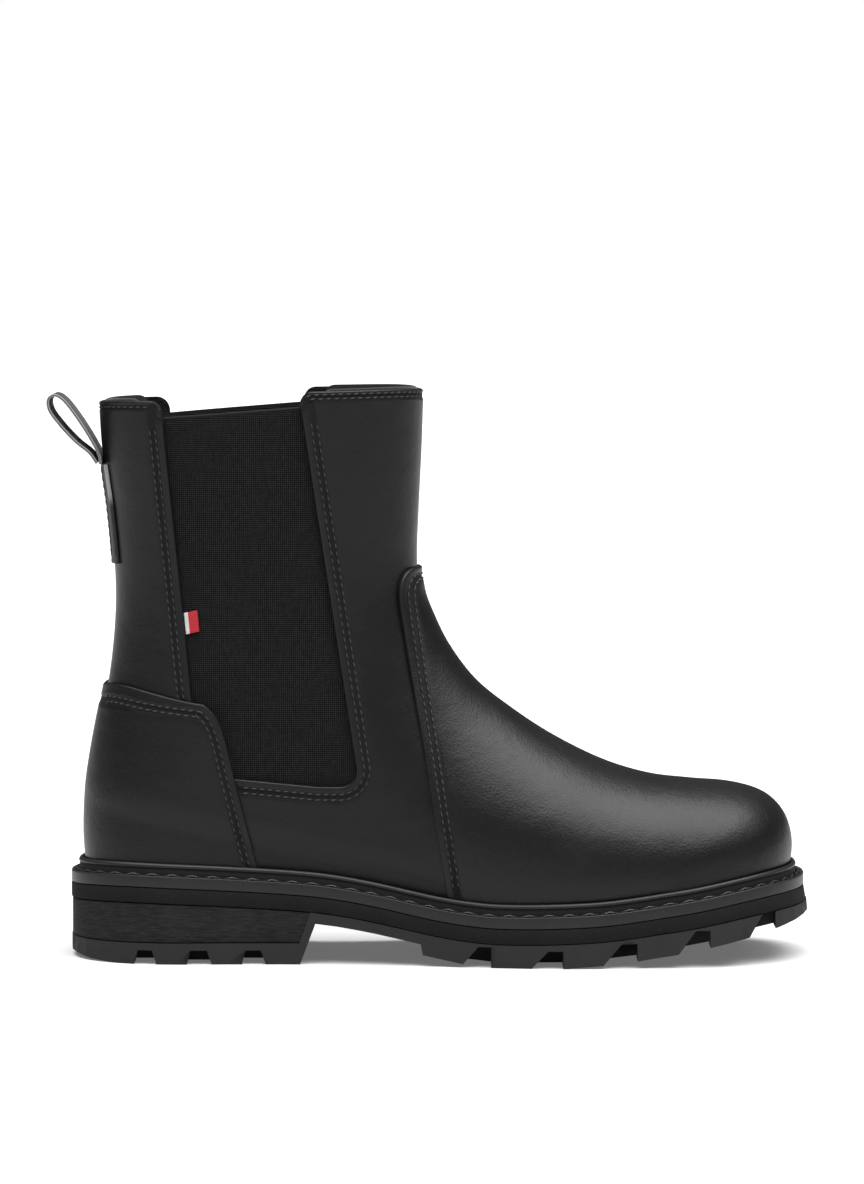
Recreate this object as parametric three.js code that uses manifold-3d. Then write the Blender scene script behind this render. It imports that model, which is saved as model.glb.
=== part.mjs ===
// Chelsea boot for the right foot, built the way a bootmaker builds one: a leather upper of five
// outer panels with elastic gores in its sides, linings and stiffeners inside, a stitched welt with
// a raised lip, and a cleated sole that wraps under a separate heel block.
// Millimetres, +Z up, toe towards +X, outer side of the foot towards -Y. The model is drawn with
// x = 0 at the back of the heel and z = 0 on the ground, and at the end its origin is moved to the
// bottom centre of its bounding box.
import * as THREE from 'three';
import { mergeVertices } from 'three/addons/utils/BufferGeometryUtils.js';
import Module from 'manifold-3d';

const wasm = await Module();
wasm.setup();

// ---- Overall sizes -------------------------------------------------------------------------
const SOLE_LENGTH = 300;
const BOOT_HEIGHT = 228.5; // top of the front panel above the drawing's zero
const LAST_WIDTH = 90.6; // across the ball, inside the outer leather
const SHAFT_WIDTH = 74; // across the top of the shaft

// ---- Thicknesses ---------------------------------------------------------------------------
const LEATHER = 1.7;
const COUNTER_THICK = 1.5;
const TOE_PUFF_THICK = 1.4;
const INTERLINING_THICK = 1.2;
const LINING_THICK = 1.4;
const GORE_THICK = 1.5;
const LABEL_THICK = 0.6;
const TAB_THICK = 1.3;
const WELT_THICK = 4.5;
const MIDSOLE_THICK = 6;
const HEEL_LIFT = 7.4; // top of the cleated layer under the heel block
const SHANK_SOLE = 4.2; // outsole under the waist, where it has no cleats
const LUG_DEPTH = 6.9;
const HEEL_NOTCH = 5.6;
const TREAD_LEVEL = -1; // of the ball and the heel, in the drawing's heights
const INSOLE_THICK = 2.5;
const FOOTBED_THICK = 4;
const SHANK_THICK = 1.6;

// ---- Other sizes ---------------------------------------------------------------------------
const CLEAR = 0.3; // gap between pieces that touch
const OVERLAP = 8; // how far a panel reaches under its neighbour
const COUNTER_GAP = 1.1; // between the heel counter and the front panel's rear edge
const GORE_CORNER = 7; // radius of the gore's front lower corner
const RIM_CORNER = 5; // radius of the corners of the top line
const FRONT_DIP = 1.6; // the top line is lower at the middle of the front and of the back
const BACK_DIP = 0.9;
const WELT_SHOW_HEEL = 5.4; // welt seen outside the leather, at the heel and at the toe
const WELT_SHOW_TOE = 5.6;
const LIP_THICK = 2.2; // raised lip of the welt
const LIP_RISE = 4.6;
const RIM_WIDTH = 1.7; // flat outer edge of the welt, outside the stitch groove
const GROOVE_DEPTH = 1.1;
const FLANGE_DEPTH = 8; // welt under the edge of the upper
const THREAD_DIAMETER = 0.9;
const BREAST_WALL = 3.8; // outsole down the front of the heel block
const LUG_WIDTH = 15; // cleats along the edge, measured inwards
const CHANNEL_WIDTH = 5; // gap between the edge cleats and the middle ones
const SHANK_WIDTH = 14;
const TAB_WIDTH = 25;
const LINING_PROUD = 0.8; // lining seen above the leather at the top line
const FULLNESS = 2.3; // exponent of the rounded cross-sections: 2 is an ellipse, more is squarer

// ---- Pattern grading -----------------------------------------------------------------------
// The outlines below are drawn for one base size. Lengths scale with the sole, and heights above
// the ankle scale with the boot's height, as when a pattern is graded.
const BASE_LENGTH = 300;
const BASE_HEIGHT = 228.5;
const ANKLE = 112;
const BASE_LAST_WIDTH = 90.6;
const gradeX = (x) => (x * SOLE_LENGTH) / BASE_LENGTH;
const gradeZ = (z) =>
  z < ANKLE ? z : ANKLE + ((z - ANKLE) * (BOOT_HEIGHT - ANKLE)) / (BASE_HEIGHT - ANKLE);
const graded = (points) => points.map(([x, z]) => [gradeX(x), gradeZ(z)]);
const gradedHeights = (points) => points.map(([z, v]) => [gradeZ(z), v]);

const clamp01 = (t) => Math.min(1, Math.max(0, t));
const mix = (a, b, t) => a + (b - a) * t;
const mixPoint = (a, b, t) => [mix(a[0], b[0], t), mix(a[1], b[1], t)];
const range = (from, to, steps) => Array.from({ length: steps + 1 }, (_, i) => mix(from, to, i / steps));
const smooth = (lo, hi, x) => {
  const t = clamp01((x - lo) / (hi - lo));
  return t * t * (3 - 2 * t);
};

// A smooth graph through [x, value] points: cubic between them, straight beyond them.
function graph(points) {
  const last = points.length - 1;
  const slopes = points.map((_, i) => {
    const [x0, y0] = points[Math.max(i - 1, 0)];
    const [x1, y1] = points[Math.min(i + 1, last)];
    return (y1 - y0) / (x1 - x0);
  });
  return (x) => {
    if (x <= points[0][0]) return points[0][1] + slopes[0] * (x - points[0][0]);
    if (x >= points[last][0]) return points[last][1] + slopes[last] * (x - points[last][0]);
    let i = 0;
    while (x > points[i + 1][0]) i++;
    const [x0, y0] = points[i];
    const [x1, y1] = points[i + 1];
    const h = x1 - x0;
    const t = (x - x0) / h;
    const rise = y1 - y0;
    const a = slopes[i] * h - rise;
    const b = rise - slopes[i + 1] * h;
    return y0 + rise * t + t * (1 - t) * (a * (1 - t) + b * t);
  };
}

// ---- Shape of the last ---------------------------------------------------------------------
// FRONT is the outline from under the toe, over the instep and up the front of the shaft; SPINE is
// the line of greatest width. A cross-section runs between points of the same number.
const FRONT = [
  [280, 14], [284, 24], [287.4, 32.5], [289.3, 40], [289, 48], [285.8, 56], [278.5, 62.3], [266, 65.8], [250, 67.2],
  [233, 69.4], [214, 75.3], [193.5, 85.6], [176, 97.2], [162, 108.6], [151.5, 122.4],
  [145, 135.2], [141, 146.5], [140, 160], [140.7, 180], [141.9, 205], [142.7, 230], [143.1, 245],
];
const SPINE = [
  [240, 14], [240, 24], [240, 32], [240, 33.5], [240, 34], [240, 34], [239, 34], [236, 33.5], [228, 33], [216, 32],
  [202, 32], [186, 33], [168, 37], [150, 45], [128, 60], [108, 82], [93, 108], [83, 136],
  [79, 165], [77.5, 195], [77, 222], [77, 240],
];
const TOE_START = gradeX(240);
const BACK = graph(
  gradedHeights([
    [25, 9], [38, 8], [50, 7.3], [67, 8], [80, 9.8], [92, 12], [105, 14.6], [118, 16.6],
    [132, 18], [145, 18.5], [160, 17.9], [180, 16.1], [200, 13.5], [222, 12], [240, 11.6],
  ]),
);
const HEEL_ROUND = graph(gradedHeights([[30, 42], [60, 44], [100, 52], [150, 58], [200, 63.5], [230, 65]]));
const backX = (z) => gradeX(BACK(z));
const heelRound = (z) => gradeX(HEEL_ROUND(z));

const FOOT_WIDTH = {
  '-1': graph(graded([[0, 32.5], [35, 32.5], [70, 31], [100, 31.5], [130, 35], [160, 41], [190, 45.5], [212, 46.3], [240, 44.5]])),
  '1': graph(graded([[0, 32], [35, 32], [70, 29.5], [100, 29], [130, 31], [160, 37], [190, 42.5], [212, 44.3], [240, 43]])),
};
const shaftHalfWidth = graph(
  gradedHeights([[60, -5], [110, -4.5], [150, -3.5], [190, -1.5], [230, 0], [245, 0.5]]).map(([z, v]) => [
    z,
    SHAFT_WIDTH / 2 + v,
  ]),
);
const TOE_INWARDS = 4; // the toe leans towards the other foot
const centreY = (x) => TOE_INWARDS * smooth(gradeX(150), gradeX(290), x);

function halfWidth(x, z, side) {
  const foot = (FOOT_WIDTH[side](Math.min(x, TOE_START)) * LAST_WIDTH) / BASE_LAST_WIDTH;
  return mix(foot, shaftHalfWidth(z), smooth(50, 130, z));
}

const SAMPLES = 240;
const frontCurve = new THREE.SplineCurve(graded(FRONT).map(([x, z]) => new THREE.Vector2(x, z)));
const spineCurve = new THREE.SplineCurve(graded(SPINE).map(([x, z]) => new THREE.Vector2(x, z)));
const frontSamples = frontCurve.getPoints(SAMPLES);
const spineSamples = spineCurve.getPoints(SAMPLES);

// How far (x, z) lies from the spine (0) to the front outline (1) along its cross-section.
function forward(x, z) {
  let before = null;
  for (let i = 0; i <= SAMPLES; i++) {
    const k = spineSamples[i];
    const f = frontSamples[i];
    const now = (f.x - k.x) * (z - k.y) - (f.y - k.y) * (x - k.x);
    if (before !== null && before > 0 && now <= 0) {
      const t = before / (before - now);
      const kx = mix(spineSamples[i - 1].x, k.x, t);
      const kz = mix(spineSamples[i - 1].y, k.y, t);
      const fx = mix(frontSamples[i - 1].x, f.x, t) - kx;
      const fz = mix(frontSamples[i - 1].y, f.y, t) - kz;
      const share = ((x - kx) * fx + (z - kz) * fz) / (fx * fx + fz * fz);
      if (share > 0 && share < 1.3) return share;
    }
    before = now;
  }
  return 0;
}

const spineHeight = graph(graded([[60, 60], [128, 45], [150, 40], [168, 36], [186, 33], [202, 32], [240, 34]]));
const TUCK = 0.05; // the sides pull in under the spine, towards the welt

// (half width) ** FULLNESS at (x, z), which falls smoothly through 0 at the outline.
function fullness(x, z, side) {
  const ahead = forward(x, z) ** FULLNESS;
  const round = heelRound(z);
  const behind = Math.max(0, (backX(z) + round - x) / round) ** FULLNESS;
  const under = ahead > 0 ? 0 : Math.max(0, (spineHeight(x) - z) / 10);
  const width = halfWidth(x, z, side) * (1 - TUCK * Math.min(1, under) ** 2);
  return width ** FULLNESS * (1 - ahead) * (1 - behind);
}

const ON_OUTLINE = 1.2; // closer to the middle than this is the outline itself

// The point of the last's surface seen at (x, z) from one side, and its outward normal.
function onLast(x, z, side) {
  const STEP = 0.4;
  const raw = Math.max(0, fullness(x, z, side)) ** (1 / FULLNESS);
  const off = raw < ON_OUTLINE ? 0 : raw;
  const slopeX = (fullness(x + STEP, z, side) - fullness(x - STEP, z, side)) / (2 * STEP);
  const slopeZ = (fullness(x, z + STEP, side) - fullness(x, z - STEP, side)) / (2 * STEP);
  const steep = FULLNESS * off ** (FULLNESS - 1);
  const lean = (centreY(x + STEP) - centreY(x - STEP)) / (2 * STEP);
  return {
    point: new THREE.Vector3(x, centreY(x) + side * off, z),
    normal: new THREE.Vector3(-slopeX - steep * side * lean, side * steep, -slopeZ).normalize(),
  };
}

// ---- Mesh building -------------------------------------------------------------------------
// Closes an indexed surface into a solid between two offsets along its normals: both skins, and a
// wall along every edge that only one triangle uses. Nothing reaches below the welt's top.
function thicken(points, normals, triangles, inner, outer) {
  const edges = new Map();
  for (const [a, b, c] of triangles) {
    for (const [p, q] of [[a, b], [b, c], [c, a]]) {
      if (edges.has(`${q},${p}`)) edges.delete(`${q},${p}`);
      else edges.set(`${p},${q}`, [p, q]);
    }
  }
  const n = points.length;
  const position = [];
  for (const offset of [outer, inner]) {
    points.forEach((p, i) => {
      const moved = p.clone().addScaledVector(normals[i], offset);
      moved.z = Math.max(moved.z, panelFoot(moved.x));
      position.push(...moved.toArray());
    });
  }
  const index = [];
  for (const [a, b, c] of triangles) index.push(a, b, c, a + n, c + n, b + n);
  for (const [p, q] of edges.values()) index.push(q, p, q + n, p, p + n, q + n);
  const geometry = new THREE.BufferGeometry();
  geometry.setAttribute('position', new THREE.Float32BufferAttribute(position, 3));
  geometry.setIndex(index);
  return geometry;
}

// A panel drawn as a pattern: outline(u, v) gives the (x, z) seen from the side, and the panel lies
// on the last there, on both sides of the boot or on one, between two offsets. Rows and columns are
// the values of u and v that the grid runs through.
function panel({ outline, rows, columns, inner, outer, sides = [-1, 1] }) {
  const seen = new Map();
  const points = [];
  const normals = [];
  const triangles = [];
  const vertex = (u, v, side) => {
    const [x, z] = outline(u, v);
    const { point, normal } = onLast(x, z, side);
    const key = point.toArray().map((c) => c.toFixed(2)).join();
    if (!seen.has(key)) {
      seen.set(key, points.length);
      points.push(point);
      normals.push(normal);
    }
    return seen.get(key);
  };
  for (const side of sides) {
    const onSide = [];
    for (let i = 0; i < rows.length - 1; i++) {
      for (let j = 0; j < columns.length - 1; j++) {
        const corners = [[i, j], [i + 1, j], [i + 1, j + 1], [i, j + 1]];
        const [a, b, c, d] = corners.map(([p, q]) => vertex(rows[p], columns[q], side));
        for (const t of [[a, b, c], [a, c, d]]) {
          if (new Set(t).size === 3) onSide.push(t);
        }
      }
    }
    const outward = onSide.reduce((sum, t) => {
      const [a, b, c] = t.map((i) => points[i]);
      return sum + b.clone().sub(a).cross(c.clone().sub(a)).dot(normals[t[0]]);
    }, 0);
    triangles.push(...(outward > 0 ? onSide : onSide.map(([a, b, c]) => [a, c, b])));
  }
  return thicken(points, normals, triangles, inner, outer);
}

function toManifold(geometry) {
  const bare = geometry.clone();
  bare.deleteAttribute('normal');
  bare.deleteAttribute('uv');
  const merged = mergeVertices(bare, 1e-4);
  return new wasm.Manifold(
    new wasm.Mesh({
      numProp: 3,
      vertProperties: new Float32Array(merged.attributes.position.array),
      triVerts: new Uint32Array(merged.index.array),
    }),
  );
}

function toGeometry(solid) {
  const mesh = solid.getMesh();
  const position = new Float32Array(mesh.numVert * 3);
  for (let i = 0; i < mesh.numVert; i++) {
    for (let k = 0; k < 3; k++) position[i * 3 + k] = mesh.vertProperties[i * mesh.numProp + k];
  }
  const geometry = new THREE.BufferGeometry();
  geometry.setAttribute('position', new THREE.BufferAttribute(position, 3));
  geometry.setIndex(new THREE.BufferAttribute(new Uint32Array(mesh.triVerts), 1));
  return geometry;
}

// An outline in the side view, extruded across the boot from one y to another.
function acrossBoot(outline, fromY, toY) {
  const shape = new THREE.Shape(outline.map(([x, z]) => new THREE.Vector2(x, z)));
  const geometry = new THREE.ExtrudeGeometry(shape, { depth: toY - fromY, bevelEnabled: false });
  geometry.rotateX(Math.PI / 2);
  geometry.translate(0, toY, 0);
  return geometry;
}

// ---- Layers of the upper -------------------------------------------------------------------
const BACKING = Math.max(LEATHER, COUNTER_THICK + CLEAR, TOE_PUFF_THICK, INTERLINING_THICK);
const LAP = 0.6; // gap where panels cut from different patterns lie on each other
const OVER = { inner: LAP, outer: LAP + LEATHER }; // vamp and heel foxing
const MAIN = { inner: -LEATHER, outer: 0 }; // shaft panels
const INNER_FACE = -BACKING - LAP; // outside of linings and gores

// ---- Lines of the sole, as heights over x --------------------------------------------------
const rimTop = graph(
  [
    [0, 33.4], [12, 34.3], [32, 34.4], [66, 32.9], [100, 30.6], [120, 27.6], [146, 22.3],
    [160, 20.2], [173, 19.2], [197, 19.6], [218, 20.9], [248, 25.2], [268, 28.8], [282, 30.9], [300, 32.4],
  ].map(([x, z]) => [gradeX(x), z]),
);
const panelFoot = (x) => rimTop(x) + CLEAR;
const midsoleTop = (x) => rimTop(x) - WELT_THICK - CLEAR;
const midsoleBottom = (x) => midsoleTop(x) - MIDSOLE_THICK;
const outsoleTop = (x) => midsoleBottom(x) - CLEAR;

// ---- Pattern lines of the upper ------------------------------------------------------------
const polyline = (points) => {
  const curve = new THREE.SplineCurve(graded(points).map(([x, z]) => new THREE.Vector2(x, z)));
  return (t) => curve.getPoint(clamp01(t)).toArray();
};
const lineX = ([x0, z0], [x1, z1]) => {
  const [[a, c], [b, d]] = graded([[x0, z0], [x1, z1]]);
  return (z) => mix(a, b, (z - c) / (d - c));
};
const goreFrontX = lineX([115.4, 80], [93.7, 223]);
const goreRearX = lineX([49.8, 107], [38.3, 219]);
const GORE_BOTTOM = 69.5;
const GORE_RISE = 3.2; // the gore's lower edge climbs towards the heel
const goreFloor = (x) => GORE_BOTTOM + GORE_RISE * clamp01((gradeX(100) - x) / gradeX(34));
const goreTopZ = (x) => mix(gradeZ(216.7), gradeZ(220.9), (x - gradeX(38.6)) / gradeX(54.2));
const vampSeam = polyline([
  [140.6, 156], [137.2, 155.6], [134, 152.4], [132.5, 145.5], [134.1, 133], [138, 110], [143.2, 82],
  [148, 54], [151.6, 32], [153, 20],
]);
const foxingTop = polyline([[14, 108.4], [24, 109.6], [35, 109.4], [46.6, 106.8], [55, 102.6]]);
const foxingFront = polyline([[76.9, 33], [74.3, 49.5], [70.8, 64.5], [67, 80], [63.4, 93.6], [60, 98.8], [55, 102.6]]);

// Eased steps that crowd towards an outline, where the surface turns away from the side view.
const crowdStart = (t) => 1 - Math.cos((t * Math.PI) / 2);
const crowdEnd = (t) => Math.sin((t * Math.PI) / 2);

// Vamp pattern: rows run from the tip of the toe (0) to the seam (1), columns from the ridge to the
// welt. Rows end at even steps around the toe, then along the side.
let vampFirst = 0;
while (frontCurve.getPoint(vampFirst).y < panelFoot(frontCurve.getPoint(vampFirst).x)) vampFirst += 1e-4;
let vampLast = 1;
while (frontCurve.getPoint(vampLast).y > vampSeam(0)[1]) vampLast -= 1e-4;
const TOE_STEPS = 1 / 2.26; // share of the rows that end on the round of the toe
function vampOutline(row, column) {
  const ridge = frontCurve.getPoint(mix(vampFirst, vampLast, row)).toArray();
  const tipX = frontCurve.getPoint(vampFirst).x;
  const seamFootX = vampSeam(0.94)[0];
  const footX =
    row < TOE_STEPS
      ? mix(TOE_START, tipX, Math.cos((row / TOE_STEPS) * (Math.PI / 2)) ** (2 / FULLNESS))
      : mix(TOE_START, seamFootX, (row - TOE_STEPS) / (1 - TOE_STEPS));
  const foot = [footX, Math.min(panelFoot(footX), ridge[1])];
  const t = crowdStart(column);
  const straight = mixPoint(ridge, foot, t);
  const seamEnd = [seamFootX, panelFoot(seamFootX)];
  const chord = mixPoint(vampSeam(0), seamEnd, t);
  const seam = vampSeam(0.94 * t);
  seam[1] = Math.max(seam[1], seamEnd[1]);
  const share = smooth(0.65, 1, row);
  return [straight[0] + share * (seam[0] - chord[0]), straight[1] + share * (seam[1] - chord[1])];
}
const VAMP_ROWS = 18;
const PUFF_ROW = 7; // where the toe puff ends
const EDGE_ROW = 17; // where the front panel ends under the vamp
const VAMP_COLUMNS = range(0, 1, 8);
const vampRows = (from, to) =>
  [from, ...range(0, VAMP_ROWS, VAMP_ROWS).filter((r) => r > from && r < to), to].map((r) => r / VAMP_ROWS);

// Front panel pattern, an L: columns run from the gore's edge to the welt, the vamp or the front
// outline, and rows from under the heel foxing forwards and then up to the top line.
const FRONT_ROWS = [3, 3, 3, 8, 6];
const FRONT_REAR = gradeX(61); // rear edge under the heel foxing, at the gore's floor
const REAR_SLANT = gradeX(6); // its foot at the welt is this much further forward
function frontPanelOutline({ reach, corner, rear, top }) {
  const goreEdge = (z) => goreFrontX(z) + reach;
  const floor = (x) => goreFloor(x) - reach;
  const low = GORE_BOTTOM - reach;
  const cornerX = goreEdge(low + corner);
  const underVamp = (v) => vampOutline(EDGE_ROW / VAMP_ROWS, v);
  const seamFoot = underVamp(1);
  const seamTop = underVamp(0);
  const topZ = gradeZ(BASE_HEIGHT) + top;
  const gorePath = [
    (t) => {
      const x = mix(rear, gradeX(88), t);
      return [x, floor(x)];
    },
    (t) => {
      const x = mix(gradeX(88), cornerX - corner, t);
      return [x, floor(x)];
    },
    (t) => {
      const angle = (t * Math.PI) / 2;
      return [cornerX - corner * (1 - Math.sin(angle)), low + corner * (1 - Math.cos(angle))];
    },
    (t) => {
      const z = mix(low + corner, gradeZ(146), t);
      return [goreEdge(z), z];
    },
    (t) => {
      const z = mix(gradeZ(146), topZ - RIM_CORNER - 1.5, t);
      return [goreEdge(z), z];
    },
  ];
  const along = (from, to) => (t) => {
    const x = mix(from, to, t);
    return [x, panelFoot(x)];
  };
  const outerPath = [
    along(rear + REAR_SLANT, gradeX(100)),
    along(gradeX(100), gradeX(132)),
    along(gradeX(132), seamFoot[0]),
    (t) => underVamp(1 - t),
    (t) => {
      const z = mix(seamTop[1], topZ - FRONT_DIP, t);
      return [frontX(z), z];
    },
  ];
  const total = FRONT_ROWS.reduce((a, b) => a + b);
  return (u, v) => {
    let row = u * total;
    let part = 0;
    while (part < FRONT_ROWS.length - 1 && row > FRONT_ROWS[part] + 1e-6) row -= FRONT_ROWS[part++];
    const t = row / FRONT_ROWS[part];
    const point = mixPoint(gorePath[part](t), outerPath[part](t), crowdEnd(v));
    if (part < FRONT_ROWS.length - 1) return point;
    // the top line is level at the front and falls round a corner to the gore
    const across = crowdEnd(v) * (frontX(topZ) - goreEdge(topZ));
    const round = RIM_CORNER * (1 - Math.sqrt(1 - (1 - Math.min(1, across / RIM_CORNER)) ** 2));
    const drop = round + 1.5 * (1 - v) + FRONT_DIP * v ** 4;
    const ruled = mix(topZ - RIM_CORNER - 1.5, topZ - FRONT_DIP, crowdEnd(v));
    return [point[0], point[1] + t * t * (topZ - drop - ruled)];
  };
}

// x of the front outline at a height on the shaft
function frontX(z) {
  for (let i = 1; i <= SAMPLES; i++) {
    const a = frontSamples[i - 1];
    const b = frontSamples[i];
    if (b.y >= z && b.x < gradeX(200)) return mix(a.x, b.x, clamp01((z - a.y) / (b.y - a.y)));
  }
  return frontSamples[SAMPLES].x;
}

// Back panel pattern: rows from the foxing's top edge to the top line, columns from the back.
function backPanelOutline({ gap, reach, top }) {
  const topZ = gradeZ(223.2) + top;
  return (u, v) => {
    const share = crowdStart(v);
    const bottom = foxingTop(v * 0.86)[1] + gap;
    const edge = goreRearX(topZ) + reach - backX(topZ);
    const fromEdge = Math.min(1, ((1 - share) * edge) / RIM_CORNER);
    const drop = RIM_CORNER * (1 - Math.sqrt(1 - (1 - fromEdge) ** 2)) + BACK_DIP * (1 - v) ** 2;
    const z = mix(bottom, topZ - drop, u);
    return [mix(backX(z), goreRearX(z) + reach, share), z];
  };
}

// Heel pattern: rows from the welt to the top edge, columns from the back to the front edge.
function heelOutline({ front, top }) {
  return (u, v) => {
    const edge = foxingFront(u);
    const share = crowdStart(v);
    const topZ = foxingTop(v)[1] - top;
    const footZ = panelFoot(gradeX(20));
    const z0 = mix(footZ, panelFoot(edge[0]), share);
    const z = mix(z0, topZ, u);
    const straightZ = mix(mix(footZ, foxingTop(0)[1] - top, u), edge[1] - top * u, share);
    const height = mix(z, straightZ, u * share);
    return [mix(backX(height), edge[0] - front, share), Math.max(height, z0)];
  };
}

// ---- Sole outline --------------------------------------------------------------------------
// The last's footprint at the welt: matched points along both sides from heel to toe, each with its
// plan normal, which every layer of the sole is offset from.
const FOOT_STATIONS = 34;
const featherZ = (x) => rimTop(x) + LIP_RISE;
function footprint() {
  const heelX = backX(featherZ(0));
  let toeX = TOE_START;
  while (fullness(toeX + 0.05, featherZ(toeX), 1) > 0) toeX += 0.05;
  const sides = [-1, 1].map((side) =>
    Array.from({ length: FOOT_STATIONS + 1 }, (_, i) => {
      const x = mix(heelX, toeX, (1 - Math.cos((Math.PI * i) / FOOT_STATIONS)) / 2);
      const ends = i === 0 || i === FOOT_STATIONS;
      const off = ends ? 0 : Math.max(0, fullness(x, featherZ(x), side)) ** (1 / FULLNESS);
      return { x, y: centreY(x) + side * off };
    }),
  );
  const loop = [...sides[0], ...sides[1].slice(1, -1).reverse()];
  loop.forEach((p, i) => {
    const a = loop[(i + loop.length - 1) % loop.length];
    const b = loop[(i + 1) % loop.length];
    const length = Math.hypot(b.x - a.x, b.y - a.y);
    p.nx = (b.y - a.y) / length;
    p.ny = -(b.x - a.x) / length;
  });
  return loop;
}
const LOOP = footprint();
const HEEL_X = LOOP[0].x;
const TOE_X = LOOP[FOOT_STATIONS].x;
const weltShow = (x) => mix(WELT_SHOW_HEEL, WELT_SHOW_TOE, clamp01((x - HEEL_X) / (TOE_X - HEEL_X)));
const rimOffset = (x) => OVER.outer + weltShow(x);
const atOffset = (p, offset) => [p.x + p.nx * offset, p.y + p.ny * offset];

// A layer whose outline is the footprint at an offset, between two heights over x.
function slab(offset, bottom, top, spread = () => 0) {
  const position = [];
  for (const [height, extra] of [[bottom, spread], [top, () => 0]]) {
    for (const p of LOOP) {
      const [x, y] = atOffset(p, offset(p.x) + extra(p.x));
      position.push(x, y, height(x));
    }
  }
  const n = LOOP.length;
  const other = (i) => (n - i) % n; // the point across the foot from point i
  const index = [];
  for (let i = 0; i < n; i++) {
    const j = (i + 1) % n;
    index.push(i, j, j + n, i, j + n, i + n);
  }
  for (let i = 0; i < FOOT_STATIONS; i++) {
    const quad = [i, i + 1, other(i + 1), other(i)];
    for (const [a, b, c] of [[0, 1, 2], [0, 2, 3]].map((t) => t.map((k) => quad[k]))) {
      if (new Set([a, b, c]).size < 3) continue;
      index.push(a, c, b, a + n, b + n, c + n);
    }
  }
  const geometry = new THREE.BufferGeometry();
  geometry.setAttribute('position', new THREE.Float32BufferAttribute(position, 3));
  geometry.setIndex(index);
  return geometry;
}

// A closed profile of [offset, height] points carried round the footprint.
function ring(profile) {
  const position = [];
  const n = LOOP.length;
  for (const p of LOOP) {
    for (const [offset, height] of profile(p.x)) {
      const [x, y] = atOffset(p, offset);
      position.push(x, y, rimTop(x) + height);
    }
  }
  const m = profile(0).length;
  const index = [];
  for (let i = 0; i < n; i++) {
    for (let k = 0; k < m; k++) {
      const a = i * m + k;
      const b = i * m + ((k + 1) % m);
      const c = ((i + 1) % n) * m + ((k + 1) % m);
      const d = ((i + 1) % n) * m + k;
      index.push(a, b, c, a, c, d);
    }
  }
  const geometry = new THREE.BufferGeometry();
  geometry.setAttribute('position', new THREE.Float32BufferAttribute(position, 3));
  geometry.setIndex(index);
  return geometry;
}

const LIP_INNER = OVER.outer + CLEAR;
const grooveIn = LIP_INNER + LIP_THICK;
const grooveOut = (x) => rimOffset(x) - RIM_WIDTH;
const weltProfile = (x) => [
  [-FLANGE_DEPTH, -WELT_THICK],
  [-FLANGE_DEPTH, 0],
  [LIP_INNER, 0],
  [LIP_INNER, LIP_RISE - 0.6],
  [LIP_INNER + LIP_THICK * 0.45, LIP_RISE],
  [LIP_INNER + LIP_THICK * 0.95, LIP_RISE - 1.4],
  [grooveIn, -GROOVE_DEPTH],
  [grooveOut(x), -GROOVE_DEPTH],
  [grooveOut(x) + 0.4, 0],
  [rimOffset(x) - 0.4, 0],
  [rimOffset(x), -0.5],
  [rimOffset(x), -WELT_THICK],
];
const threadProfile = (x) => {
  const r = THREAD_DIAMETER / 2;
  const middle = (grooveIn + grooveOut(x)) / 2;
  return [5, 4, 3, 2, 1, 0].map((k) => [
    middle + r * Math.cos((k * Math.PI) / 3),
    r * Math.sin((k * Math.PI) / 3) - GROOVE_DEPTH + r + CLEAR,
  ]);
};

// ---- Outsole -------------------------------------------------------------------------------
const HALF_SPAN = 90; // wider than the boot
const FLARE = 2.9; // the sole's wall leans out towards the ground at the toe
const flare = (x) => FLARE * smooth(gradeX(230), gradeX(290), x);
const soleBlank = (floor) => slab((x) => rimOffset(x) + flare(x) * 0.35, () => floor, (x) => outsoleTop(x) + 4, flare);

// Height of the tread's surface: flat under the heel and the ball, and rising towards the toe.
const TOE_SPRING = 18.8;
const BALL = [gradeX(170), gradeX(195)];
const treadZ = (x) => {
  const toe = TOE_SPRING * clamp01((x - BALL[1]) / (SOLE_LENGTH - BALL[1])) ** 1.6;
  const waist = 4.6 * Math.max(0, (BALL[0] - x) / gradeX(28)) ** 1.4;
  return TREAD_LEVEL + toe + waist;
};
// Gaps between the cleats of the forepart: back wall, end of the flat top, foot of the front ramp.
const FORE_GAPS = [
  [158, 169.5], [185, 198], [213.5, 227.5], [243.5, 256.5], [272, 283],
].map((gap) => gap.map(gradeX));
const HEEL_GAPS = [[27, 36.5], [48, 58.5], [70, 80]].map((gap) => gap.map(gradeX));
const BREAST_FOOT = gradeX(93.4);
const BREAST_TOP = gradeX(100);
const FORE_START = gradeX(141.5);
const breastX = (z) => mix(BREAST_FOOT, BREAST_TOP, (z - TREAD_LEVEL) / 17.5);
const heelBlockFrontX = (z) => breastX(z) - BREAST_WALL;

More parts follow.
